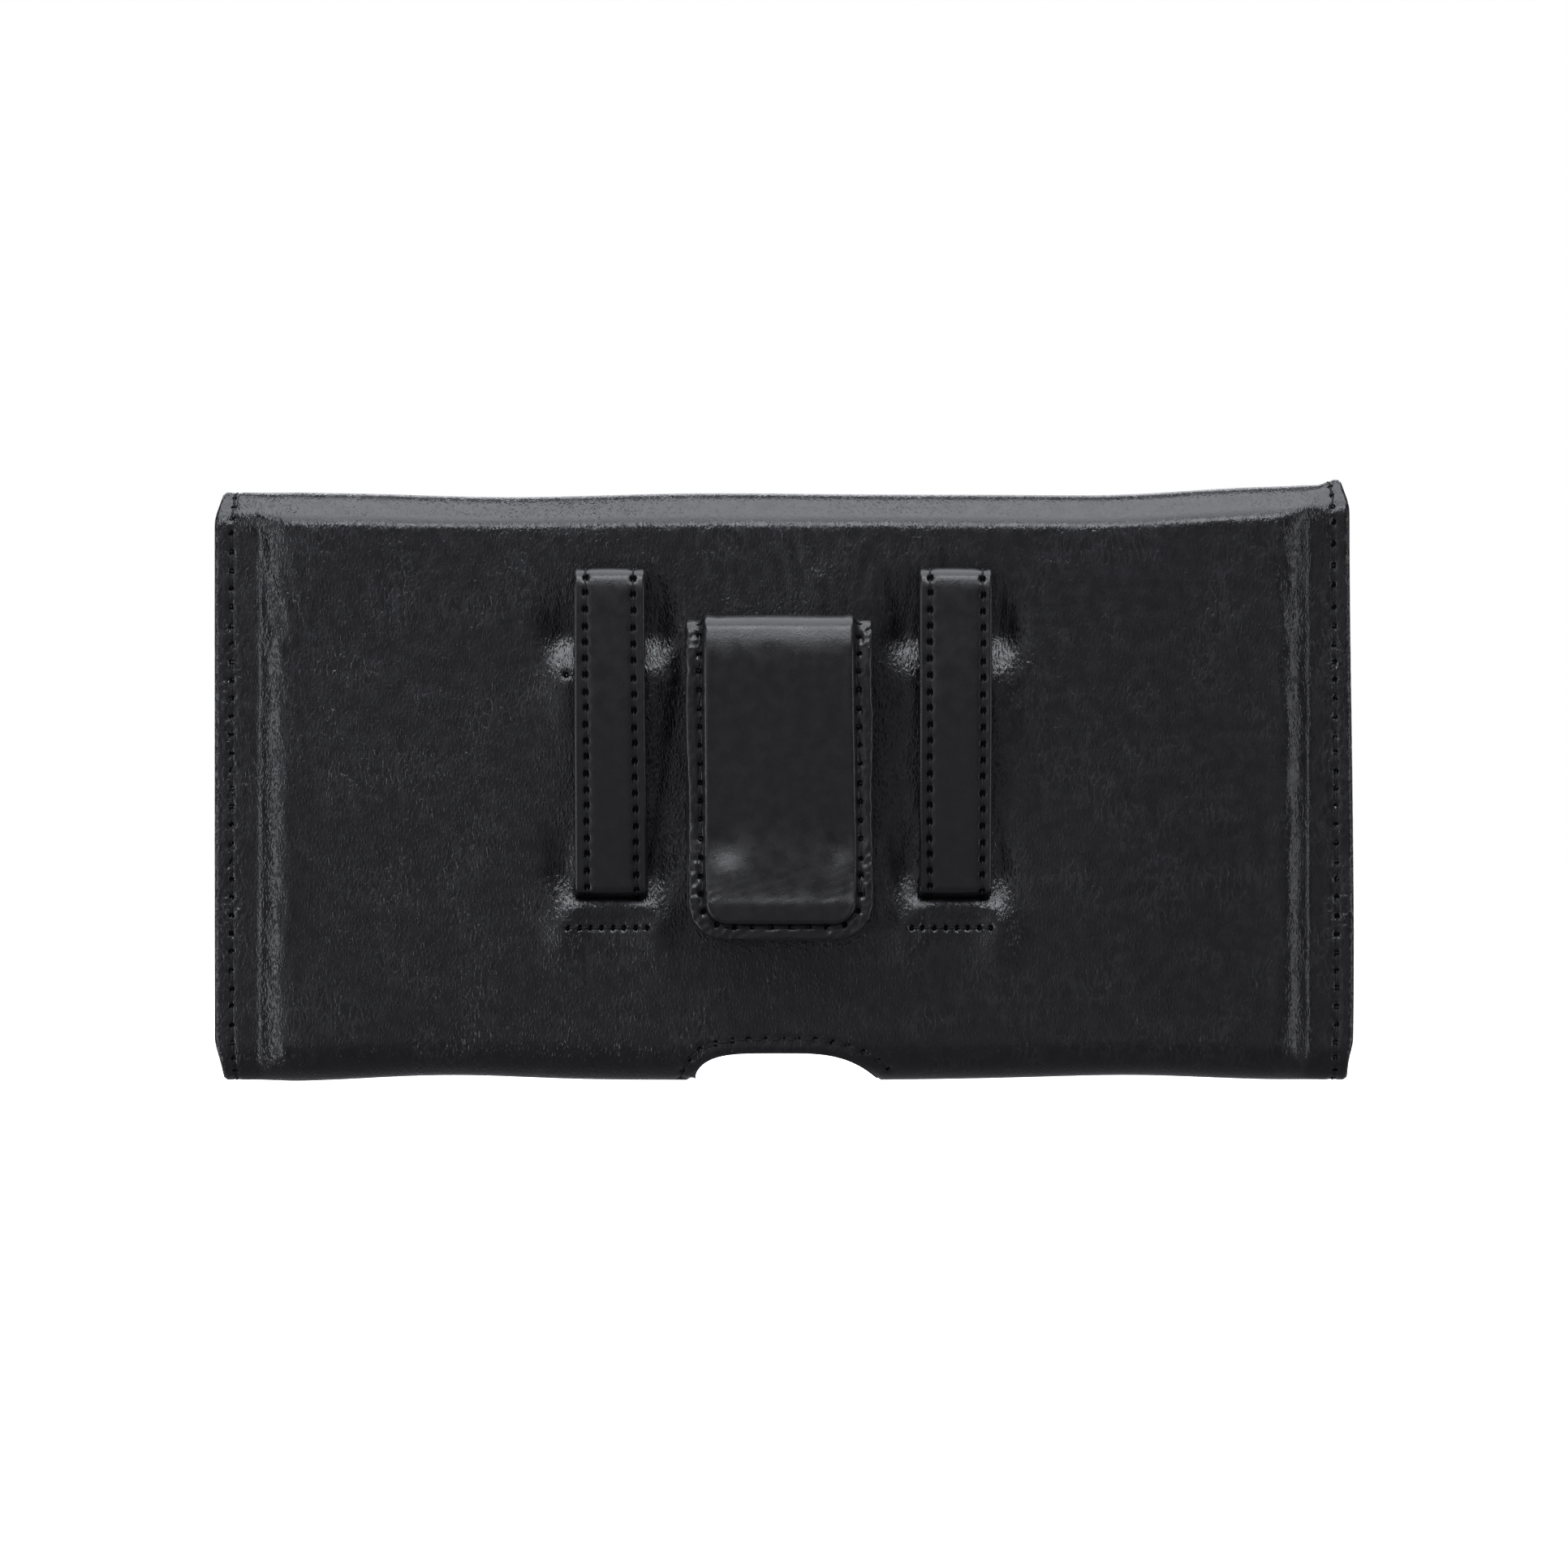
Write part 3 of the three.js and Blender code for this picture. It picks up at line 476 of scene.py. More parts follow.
def hide_relief(x, s):
    """Height of the hide's outer face above its bare wrap."""
    y, z = wrap.at(s)
    ny, _ = wrap.normal(s)
    back = smooth(-ny, 0.3, 1)
    wall = smooth(np.abs(ny), 0.3, 1)
    height = 0.14 * undulation.at(x, s) * (1 - smooth(np.abs(x), 76, 84))
    height += (crown(x, z) + corner_ridges(x, s, z)) * wall
    height += side_puckers(x, s, z, wall)
    height += (dimples(x, z) - drape(x, z) + crumples(x, s, z)) * back
    height = np.maximum(height - rounded_edges(x, s, z), -LEATHER)
    return height + seam_relief(x, s, OTHER_SEAMS, 0.16, 0.4) + seam_relief(x, s, ANCHOR_SEAMS, 0.04, 0.4)


def hide_point(x, s, lift=0.0):
    """The point of the hide's outer face at x and s, lifted along its normal, in millimetres."""
    y, z = wrap.at(s)
    ny, nz = wrap.normal(s)
    y = y + ny * lift
    z = z + nz * lift
    return np.stack([x + edge_drift(x, z), narrow(x, y, z), z + sag(x, z)], -1)


# ---- Mesh helpers ----
def graded(stops, block=4):
    """Places from the first stop to the last, spaced as each (place, spacing) stop asks, in whole blocks."""
    place = np.array([stop[0] for stop in stops], float)
    spacing = np.array([stop[1] for stop in stops], float)
    fine = np.linspace(place[0], place[-1], 4000)
    density = 1 / np.interp(fine, place, spacing)
    total = np.concatenate([[0], np.cumsum((density[1:] + density[:-1]) / 2 * np.diff(fine))])
    count = max(block, int(round(total[-1] / block)) * block)
    return np.interp(np.linspace(0, total[-1], count + 1), total, fine)


def mirrored(stops):
    """The same spacing on both sides of the middle."""
    return [(-place, spacing) for place, spacing in reversed(stops)] + stops[1:]


SHARP_ANGLE = 55


def make_object(name, points, faces, materials, uv=None, face_slots=None, sharp=SHARP_ANGLE):
    """A smooth-shaded object from points in millimetres, with its normals facing out."""
    mesh = bpy.data.meshes.new(name)
    mesh.from_pydata((np.asarray(points) * MM).tolist(), [], faces)
    for one in materials:
        mesh.materials.append(one)
    if face_slots is not None:
        mesh.polygons.foreach_set("material_index", np.asarray(face_slots, np.int32))
    if uv is not None:
        corners = np.zeros(len(mesh.loops), np.int32)
        mesh.loops.foreach_get("vertex_index", corners)
        layer = mesh.uv_layers.new(name="hide")
        layer.data.foreach_set("uv", (np.asarray(uv)[corners] * MM).astype(np.float32).ravel())
    work = bmesh.new()
    work.from_mesh(mesh)
    bmesh.ops.recalc_face_normals(work, faces=work.faces)
    work.to_mesh(mesh)
    work.free()
    mesh.polygons.foreach_set("use_smooth", [True] * len(mesh.polygons))
    mesh.set_sharp_from_angle(angle=math.radians(sharp))
    obj = bpy.data.objects.new(name, mesh)
    bpy.context.scene.collection.objects.link(obj)
    return obj


def ply(name, outer, inner, uv, materials, coarse=4):
    """A closed sheet: a fine outer face, an edge all round, and a coarser inner face.

    The materials are those of the outer face, the edge and, where it has its own, the inner face.
    """
    height, width = outer.shape[:2]
    count = height * width
    ring = [(i, 0) for i in range(height)] + [(height - 1, j) for j in range(1, width)]
    ring += [(i, width - 1) for i in range(height - 2, -1, -1)] + [(0, j) for j in range(width - 2, 0, -1)]
    around = len(ring)
    rows, columns = np.array(ring).T
    lip, rim = outer[rows, columns], inner[rows, columns]
    towards = lip - outer[np.clip(rows, 1, height - 2), np.clip(columns, 1, width - 2)]
    towards /= np.maximum(np.linalg.norm(towards, axis=1, keepdims=True), 1e-6)
    bulge = towards * np.linalg.norm(lip - rim, axis=1, keepdims=True) * 0.1
    points = [outer.reshape(-1, 3), lip * 0.72 + rim * 0.28 + bulge, lip * 0.28 + rim * 0.72 + bulge, rim]
    places = [uv.reshape(-1, 2)] + [uv[rows, columns]] * 3
    inner_index = -np.ones((height, width), int)
    inner_index[rows, columns] = count + 2 * around + np.arange(around)
    inside = [(i, j) for i in range(coarse, height - 1, coarse) for j in range(coarse, width - 1, coarse)]
    for k, spot in enumerate(inside):
        inner_index[spot] = count + 3 * around + k
    if inside:
        rows_inside, columns_inside = np.array(inside).T
        points.append(inner[rows_inside, columns_inside])
        places.append(uv[rows_inside, columns_inside])
    grid = np.arange(count).reshape(height, width)
    faces = np.stack([grid[:-1, :-1], grid[:-1, 1:], grid[1:, 1:], grid[1:, :-1]], -1).reshape(-1, 4).tolist()
    slots = [0] * len(faces) + [1] * (3 * around)
    inner_slot = 2 if len(materials) > 2 else 0
    edge = grid[rows, columns]
    for k in range(around):
        n = (k + 1) % around
        first, second = count + k, count + n
        faces.append([edge[k], edge[n], second, first])
        for ring_start in (0, around):
            a, b = first + ring_start, second + ring_start
            faces.append([a, b, b + around, a + around])
    for i in range(0, height - 1, coarse):
        for j in range(0, width - 1, coarse):
            cell = [(i, j + k) for k in range(coarse)] + [(i + k, j + coarse) for k in range(coarse)]
            cell += [(i + coarse, j + coarse - k) for k in range(coarse)]
            cell += [(i + coarse - k, j) for k in range(coarse)]
            faces.append([inner_index[p] for p in cell if inner_index[p] >= 0])
            slots.append(inner_slot)
    return make_object(name, np.concatenate(points), faces, materials, np.concatenate(places), slots)


TUBE_END = 0.45
OFF_AXIS = (0.31, -0.87, 0.38)


def tube(points, radius, sides=6):
    """Points and faces of a closed tube along points, with rounded ends."""
    points = np.asarray(points, float)
    tangent = np.gradient(points, axis=0)
    tangent /= np.linalg.norm(tangent, axis=1, keepdims=True)
    side = np.cross(tangent, OFF_AXIS)
    side /= np.linalg.norm(side, axis=1, keepdims=True)
    other = np.cross(tangent, side)
    angles = np.arange(sides) * 2 * math.pi / sides
    radii = np.full(len(points), radius)
    radii[[0, -1]] *= TUBE_END
    rings = points[:, None] + radii[:, None, None] * (
        np.cos(angles)[None, :, None] * side[:, None] + np.sin(angles)[None, :, None] * other[:, None]
    )
    faces = []
    for i in range(len(points) - 1):
        for k in range(sides):
            n = (k + 1) % sides
            faces.append([i * sides + k, i * sides + n, (i + 1) * sides + n, (i + 1) * sides + k])
    faces.append(list(range(sides)))
    faces.append(list(range((len(points) - 1) * sides, len(points) * sides)))
    return rings.reshape(-1, 3), faces


def join_parts(parts):
    """The points and faces of several parts as one mesh."""
    points, faces, start = [], [], 0
    for some_points, some_faces in parts:
        points.append(some_points)
        faces += [[start + v for v in face] for face in some_faces]
        start += len(some_points)
    return np.concatenate(points), faces


def riding(body):
    """What fastens a piece to one body, in the form that stitches() and hole_shade_discs() take."""
    return lambda piece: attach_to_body(piece, body)


THREAD_RADIUS = 0.18
STITCH_SLANT = 0.12
STITCH_STEPS = np.array([0.03, 0.12, 0.25, 0.5, 0.75, 0.88, 0.97])
STITCH_LIFTS = np.array([-0.5, -0.2, 0.02, 0.04, 0.02, -0.2, -0.5])


def stitches(name, holes, surface, attach, nodes=()):
    """A row of lock stitches: each thread comes up out of one hole and goes down the next."""
    parts = []
    for k, (a, b) in enumerate(zip(holes, holes[1:])):
        slant = STITCH_SLANT * (1 if k % 2 else -1) * random.uniform(0.4, 1.0)
        d = (b - a) / np.linalg.norm(b - a)
        shift = slant * (STITCH_STEPS - 0.5) * 2
        x = a[0] + (b[0] - a[0]) * STITCH_STEPS - d[1] * shift
        s = a[1] + (b[1] - a[1]) * STITCH_STEPS + d[0] * shift
        parts.append(tube(surface(x, s, STITCH_LIFTS), THREAD_RADIUS * random.uniform(0.9, 1.08)))
    piece = make_object(name, *join_parts(parts), [THREAD], sharp=80)
    attach(piece)
    if nodes:
        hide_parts(*nodes)


def hole_shade_discs(name, holes, surface, attach, size=0.46, tall=1.15):
    """Near-black discs at the needle holes, painted shade for the dark inside each hole: a shallow cone below
    the surface under a low lid.
    """
    sides, depth, lid = 8, -0.5, 0.05
    around = np.arange(sides) * 2 * math.pi / sides
    x_round = np.concatenate([size * np.cos(around), [0, 0]])
    s_round = np.concatenate([size * tall * np.sin(around), [0, 0]])
    lift = np.array([0.0] * sides + [depth, lid])
    after = [(k + 1) % sides for k in range(sides)]
    faces = [[k, after[k], sides] for k in range(sides)] + [[after[k], k, sides + 1] for k in range(sides)]
    parts = [(surface(x + x_round, s + s_round, lift), faces) for x, s in holes]
    piece = make_object(name, *join_parts(parts), [PAINTED_HOLE_SHADE], sharp=80)
    attach(piece)


# ---- Materials ----
def new_material(name, color, roughness, metallic=0.0, specular=0.5):
    made = bpy.data.materials.new(name)
    made.use_nodes = True
    shader = made.node_tree.nodes["Principled BSDF"]
    shader.inputs["Base Color"].default_value = (*color, 1)
    shader.inputs["Roughness"].default_value = roughness
    shader.inputs["Metallic"].default_value = metallic
    shader.inputs["Specular IOR Level"].default_value = specular
    return made, made.node_tree, shader


def add(tree, kind, inputs=None, **settings):
    """A shader node whose inputs are values or other nodes' outputs."""
    node = tree.nodes.new("ShaderNode" + kind)
    for key, value in settings.items():
        setattr(node, key, value)
    for key, value in (inputs or {}).items():
        if hasattr(value, "links"):
            tree.links.new(value, node.inputs[key])
        else:
            node.inputs[key].default_value = value
    return node


def math_node(tree, operation, a, b=0.0):
    return add(tree, "Math", {0: a, 1: b}, operation=operation).outputs[0]


def vector_math(tree, operation, a, b):
    return add(tree, "VectorMath", {0: a, 1: b}, operation=operation).outputs[0]


def ramp(tree, value, low, high, out_low=0.0, out_high=1.0):
    inputs = {"Value": value, "From Min": low, "From Max": high, "To Min": out_low, "To Max": out_high}
    return add(tree, "MapRange", inputs, interpolation_type="SMOOTHSTEP").outputs["Result"]


def stretched(tree, vector, width, height):
    """The coordinates scaled so that a pattern's cells come out width by height, in metres."""
    inputs = {"Vector": vector, "Scale": (1 / width, 1 / height, 1)}
    return add(tree, "Mapping", inputs).outputs["Vector"]


def noise(tree, vector, scale, detail, output="Fac"):
    inputs = {"Vector": vector, "Scale": scale, "Detail": detail}
    return add(tree, "TexNoise", inputs).outputs[output]


def set_color(tree, shader, share, first, second):
    """Sets the shader's colour to a mix of two, each a colour or another mix; returns the mix."""
    inputs = {0: share, 6: first, 7: second}
    mix = add(tree, "Mix", inputs, data_type="RGBA").outputs[2]
    tree.links.new(mix, shader.inputs["Base Color"])
    return mix


def set_bump(tree, shader, height, distance, strength=1.0):
    bump = add(tree, "Bump", {"Height": height, "Strength": strength, "Distance": distance})
    tree.links.new(bump.outputs["Normal"], shader.inputs["Normal"])


def shade(color, share):
    return (*[min(1, channel * share) for channel in color], 1)


def leather(name, color, roughness, pebble_depth, crease_depth, painted_highlight):
    """Black leather: fine pebbles and short creases that run up the hide, in patches of varying strength; the
    crease lines are also painted lighter, a painted highlight.
    """
    made, tree, shader = new_material(name, color, roughness)
    place = add(tree, "UVMap", uv_map="hide").outputs["UV"]
    warp = vector_math(tree, "MULTIPLY", noise(tree, place, 700.0, 2.0, "Color"), (0.0007, 0.0007, 0))
    moved = vector_math(tree, "ADD", place, warp)

    def cells(width, height, edge):
        """Domes with grooves between them."""
        inputs = {"Vector": stretched(tree, moved, width, height), "Scale": 1.0}
        cell = add(tree, "TexVoronoi", inputs, feature="DISTANCE_TO_EDGE")
        return ramp(tree, cell.outputs["Distance"], 0.0, edge)

    def wrinkles(width, height, thickness):
        """Thin ridges that wander up the hide: the places where a noise crosses its middle value."""
        value = noise(tree, stretched(tree, moved, width, height), 1.0, 1.0)
        away = math_node(tree, "ABSOLUTE", math_node(tree, "SUBTRACT", value, 0.5))
        return ramp(tree, away, 0.0, thickness, 1.0, 0.0)

    def patches(scale, low, high, least):
        return ramp(tree, noise(tree, place, scale, 3.0), low, high, least, 1.0)

    across = add(tree, "SeparateXYZ", {"Vector": place}).outputs["X"]
    livelier_left = ramp(tree, across, -0.04, 0.04, 1.0, 0.7)
    lines = math_node(tree, "MULTIPLY", wrinkles(0.0011, 0.0032, 0.09), patches(110.0, 0.45, 0.6, 0.1))
    domes = math_node(tree, "MULTIPLY", cells(0.0005, 0.00115, 0.42), patches(30.0, 0.35, 0.6, 0.65))
    folds = math_node(tree, "ADD", domes, math_node(tree, "MULTIPLY", lines, 0.65))
    folds = math_node(tree, "MULTIPLY", folds, livelier_left)
    pebbles = math_node(tree, "MULTIPLY", cells(0.00034, 0.0004, 0.4), pebble_depth)
    height = math_node(tree, "ADD", math_node(tree, "MULTIPLY", folds, crease_depth), pebbles)
    fine = math_node(tree, "MULTIPLY", noise(tree, place, 3600.0, 2.0), 0.006)
    set_bump(tree, shader, math_node(tree, "ADD", height, fine), MM)
    uneven = noise(tree, place, 420.0, 5.0)
    gloss = ramp(tree, uneven, 0.3, 0.7, roughness - 0.04, roughness + 0.06)
    tree.links.new(gloss, shader.inputs["Roughness"])
    base = set_color(tree, shader, ramp(tree, uneven, 0.25, 0.75), shade(color, 0.8), shade(color, 1.25))
    # Painted highlight: the crease lines are mixed towards a lighter colour that stands in for the glints on
    # them.
    set_color(tree, shader, math_node(tree, "MULTIPLY", lines, painted_highlight), base, PAINTED_CREST_HIGHLIGHT)
    return made


def noisy(name, color, roughness, scale, depth, metallic=0.0, specular=0.5, spread=0.25):
    """A plain material with a fine uneven surface, placed by the object's own coordinates."""
    made, tree, shader = new_material(name, color, roughness, metallic, specular)
    grain = noise(tree, add(tree, "TexCoord").outputs["Object"], scale, 3.0)
    set_bump(tree, shader, grain, depth)
    set_color(tree, shader, ramp(tree, grain, 0.3, 0.7), shade(color, 1 - spread), shade(color, 1 + spread))
    return made


def ribbed_elastic():
    made, tree, shader = new_material("elastic", (0.012, 0.012, 0.013), 0.75, specular=0.3)
    place = add(tree, "UVMap", uv_map="hide").outputs["UV"]
    inputs = {"Vector": place, "Scale": 520.0, "Distortion": 0.4}
    threads = add(tree, "TexWave", inputs, bands_direction="Y").outputs["Fac"]
    set_bump(tree, shader, threads, 0.0001, 0.8)
    set_color(tree, shader, threads, (0.006, 0.006, 0.007, 1), (0.022, 0.022, 0.024, 1))
    return made


# Painted highlight: the lighter colour laid on the leather's crease lines.
PAINTED_CREST_HIGHLIGHT = (0.03, 0.03, 0.034, 1)
BODY_LEATHER = leather("body_leather", (0.0044, 0.0043, 0.0060), 0.25, 0.01, 0.058, 0.25)
TRIM_LEATHER = leather("trim_leather", (0.0046, 0.0044, 0.0058), 0.29, 0.007, 0.006, 0.05)
EDGE_PAINT = noisy("edge_paint", (0.011, 0.006, 0.006), 0.42, 900.0, 0.00004)
FLESH_SIDE = noisy("flesh_side", (0.02, 0.018, 0.017), 0.9, 1500.0, 0.00008, specular=0.2)
LINING_CLOTH = noisy("lining", (0.014, 0.014, 0.015), 0.95, 2600.0, 0.00006, specular=0.2)
THREAD = noisy("thread", (0.0035, 0.0035, 0.004), 0.6, 6000.0, 0.00005, specular=0.3)
# Painted shade: the near-black colour of the discs that stand for the dark inside the needle holes.
PAINTED_HOLE_SHADE = noisy("needle_hole_painted_shade", (0.0008, 0.0008, 0.0008), 0.9, 3000.0, 0.00001, specular=0.05)
ELASTIC = ribbed_elastic()
BOARD = noisy("fibre_board", (0.3, 0.26, 0.22), 0.9, 800.0, 0.00005)
STEEL = noisy("spring_steel", (0.42, 0.43, 0.45), 0.32, 400.0, 0.00001, metallic=1.0, spread=0.08)
NICKEL = noisy("magnet_nickel", (0.66, 0.67, 0.68), 0.22, 500.0, 0.00001, metallic=1.0, spread=0.04)


# ---- The hide ----
def board_share(x, s):
    """1 where a stiff board lies between the hide and its lining, 0 at the margins, folds and free ends."""
    boards = [
        (front_s(BOARD_TOP_Z), front_s(BOARD_LOW_Z)),
        (back_s(BOARD_LOW_Z), S_CREASE - 1.5),
        (S_FLAP_CREASE + 1.5, wrap.end - 3),
    ]
    along = sum(smooth(s, start - 1.2, start) * (1 - smooth(s, end, end + 1.2)) for start, end in boards)
    return along * (1 - smooth(np.abs(x), BOARD_HALF_WIDTH - 0.4, BOARD_HALF_WIDTH + 1.4))


def lining_near(s):
    """How far under the hide's outer face the lining starts."""
    spine = smooth(s, S_CREASE - 1, S_CREASE + 2.5) * (1 - smooth(s, S_FLAP_CREASE - 2.5, S_FLAP_CREASE + 1))
    return LINING_NEAR - (LINING_NEAR - SPINE_LINING_NEAR) * spine


def hide_sheet(name, s, u):
    """One stretch of the hide, thick enough to reach the lining where no board lies between them."""
    x = u[None, :] / HALF_WIDTH * half_width(s)[:, None]
    s = np.repeat(s[:, None], len(u), 1)
    thick = LEATHER + (lining_near(s) - 0.1 - LEATHER) * (1 - board_share(x, s))
    relief = hide_relief(x, s)
    outer = hide_point(x, s, relief)
    inner = hide_point(x, s, np.minimum(relief + 1.0, 0) - thick)
    piece = ply(name, outer, inner, np.stack([x, s], -1), [BODY_LEATHER, EDGE_PAINT, FLESH_SIDE])
    return piece


def cut_notch(piece):
    """Cuts the thumb notch right through the bottom fold."""
    left = -NOTCH_LEFT * np.cos(np.linspace(0, math.pi / 2, 30))
    x = np.concatenate([left, np.linspace(0, NOTCH_RIGHT, 30)[1:]])
    top = notch_top(x) + 0.02
    front, back, below = FRONT_Y + 4, BACK_Y - 4, -3.0
    outline = [(x[0], below)] + list(zip(x, top)) + [(x[-1], below)]
    count = len(outline)
    points = [(a, back, b) for a, b in outline] + [(a, front, b) for a, b in outline]
    faces = [list(range(count)), list(range(count, 2 * count))]
    faces += [[k, (k + 1) % count, count + (k + 1) % count, count + k] for k in range(count)]
    cutter = make_object("notch_cutter", np.array(points), faces, [EDGE_PAINT])
    cut = piece.modifiers.new("notch", "BOOLEAN")
    cut.operation = "DIFFERENCE"
    cut.solver = "EXACT"
    cut.material_mode = "TRANSFER"
    cut.object = cutter
    graph = bpy.context.evaluated_depsgraph_get()
    made = bpy.data.meshes.new_from_object(piece.evaluated_get(graph))
    piece.modifiers.clear()
    piece.data = made
    bpy.data.objects.remove(cutter)
    made.set_sharp_from_angle(angle=math.radians(SHARP_ANGLE))


FINE_LOOPS = [(0, 0.6), (18, 0.5), (19, 0.36), (36, 0.36), (38, 1.0)]
FINE_RIDGES = [(76, 1.0), (78, 0.5), (84, 0.42), (85, 0.26), (HALF_WIDTH, 0.26)]
FINE_BACK = mirrored(FINE_LOOPS + FINE_RIDGES)
PLAIN_FACE = mirrored([(0, 1.1), (76, 1.1), (78, 0.6), (84, 0.5), (85, 0.32), (HALF_WIDTH, 0.32)])


def over_the_back_fold(piece):
    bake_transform(piece)


def over_the_flap_fold(piece):
    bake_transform(piece)


def over_the_front_fold(piece):
    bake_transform(piece)


def add_hide():
    lip = [(back_s(z), step) for z, step in ((21, 0.5), (22.5, 0.27), (29, 0.27), (30.5, 0.5))]
    upper = [(back_s(z), step) for z, step in ((61, 0.5), (63, 0.36), (66, 0.36), (68, 0.5))]
    s = graded([(S_FRONT_JOIN, 0.55), *lip, *upper, (S_CREASE, 0.5), (S_SPINE_JOIN, 0.55)])
    back = hide_sheet("hide_back", s, graded(FINE_BACK))
    cut_notch(back)
    over_the_back_fold(back)
    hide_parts("back_leather", "spine_leather")
    s = graded([(S_SPINE_JOIN, 0.5), (S_FLAP_CREASE, 0.6), (wrap.end - 6, 0.9), (wrap.end, 0.3)])
    flap = hide_sheet("hide_flap", s, graded(PLAIN_FACE))
    over_the_flap_fold(flap)
    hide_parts("flap_leather")
    s = graded([(0, 0.3), (5, 0.8), (S_FRONT_JOIN, 0.6)])
    front = hide_sheet("hide_front", s, graded(PLAIN_FACE))
    over_the_front_fold(front)
    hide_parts("front_leather")


def lining_sheet(name, start, end):
    """One stretch of the lining, a constant way under the hide."""
    s = graded([(start, 2.0), (end, 2.0)])
    u = graded(mirrored([(0, 2.6), (78, 2.6), (82, 0.9), (HALF_WIDTH, 0.9)]))
    x = u[None, :] / HALF_WIDTH * (half_width(s)[:, None] - 0.5)
    s = np.repeat(s[:, None], len(u), 1)
    near = lining_near(s)
    outer, inner = hide_point(x, s, -near), hide_point(x, s, -near - LINING)
    piece = ply(name, outer, inner, np.stack([x, s], -1), [LINING_CLOTH, LINING_CLOTH], coarse=1)
    return piece


def add_lining():
    back = lining_sheet("lining_back", S_FRONT_JOIN, S_SPINE_JOIN)
    cut_notch(back)
    over_the_back_fold(back)
    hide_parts("back_lining", "spine_lining")
    flap = lining_sheet("lining_flap", S_SPINE_JOIN, wrap.end - 0.6)
    over_the_flap_fold(flap)
    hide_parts("flap_lining")
    front = lining_sheet("lining_front", 0.5, S_FRONT_JOIN)
    over_the_front_fold(front)
    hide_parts("front_lining")


def hide_surface(x, s, lift):
    """The point of the hide's worked face at x and s, lifted off it."""
    x, s = np.asarray(x, float), np.asarray(s, float)
    return hide_point(x, s, hide_relief(x, s) + lift)


def add_hide_stitches():
    plan = []
    for part, body in (("side", "pouch"), ("spine", "spine")):
        plan += [(f"{part}_seam_{side}", body, [f"{part}_seam_thread_{side}"]) for side in SEAMS]
    plan += [(f"spine_front_seam_{side}", "spine", []) for side in SEAMS]
    plan += [(f"notch_seam_{wall}", "pouch", [f"notch_thread_{wall}"]) for wall in ("back", "front")]
    plan += [(f"{wall}_seam", wall, [f"{wall}_seam_thread"]) for wall in ("flap", "front")]
    for side in loops:
        for place in ("lower", "upper"):
            plan.append((f"{side}_anchor_{place}", "pouch", [f"{side}_loop_anchor_thread_{place}"]))
    for name, body, nodes in plan:
        stitches(f"{name}_stitches", hide_seams[name], hide_surface, riding(body), nodes)
        hole_shade_discs(f"{name}_holes", hide_seams[name], hide_surface, riding(body))


# ---- Bands of leather: the belt loops and the clip's cover ----
class Strip:
    """A band of leather that follows a path, with its own width, drift and relief."""

    def __init__(self, path, centre, half, relief):
        self.path, self.centre, self.half, self.relief = path, centre, half, relief

    def point(self, x, s, lift):
        """The point x to the side of the band's middle and s along it, lifted off the bare path."""
        x, s = np.asarray(x, float), np.asarray(s, float)
        y, z = self.path.at(s)
        ny, nz = self.path.normal(s)
        return np.stack([x + self.centre(s), y + ny * lift, z + nz * lift], -1)

    def surface(self, x, s, lift):
        return self.point(x, s, self.relief(np.asarray(x, float), np.asarray(s, float)) + lift)

    def mesh(self, name, s, u, thick, materials):
        """The band as a closed sheet, where u runs from -1 to 1 across it."""
        x = u[None, :] * self.half(s)[:, None]
        s = np.repeat(s[:, None], len(u), 1)
        outer, inner = self.surface(x, s, 0), self.point(x, s, -thick(x, s))
        piece = ply(name, outer, inner, np.stack([x, s], -1), materials)
        return piece


def level(height):
    """A relief or a thickness that is the same everywhere."""
    return lambda x, s: height


TRIM = [TRIM_LEATHER, EDGE_PAINT, FLESH_SIDE]
STRAP = 0.9
LOOP_LINING = 0.6
LOOP_PITCH = 2.57


def loop_route(loop, rear_y):
    """From behind the hide out of the slit, up the front, over the top and down to the upper anchor."""
    tail_y, anchor_y = BACK_Y + 1.45, BACK_Y + 2.35
    front_y, top_z = loop["front"], loop["top"]
    return Path(
        [
            (tail_y, 21.5),
            (tail_y, SLIT_Z + 1.6, 0.6),
            (BACK_Y - 3.0, SLIT_Z + 2.7, 1.4),
            (front_y, 58, 60),
            (front_y, top_z - 2.9, 9),
            (front_y + 0.7, top_z + 0.15, 2.1),
            (rear_y, top_z + 0.15, 2.5),
            (rear_y, 68.6, 1),
            (anchor_y, 65.6, 1),
            (anchor_y, 60.5),
        ]
    )


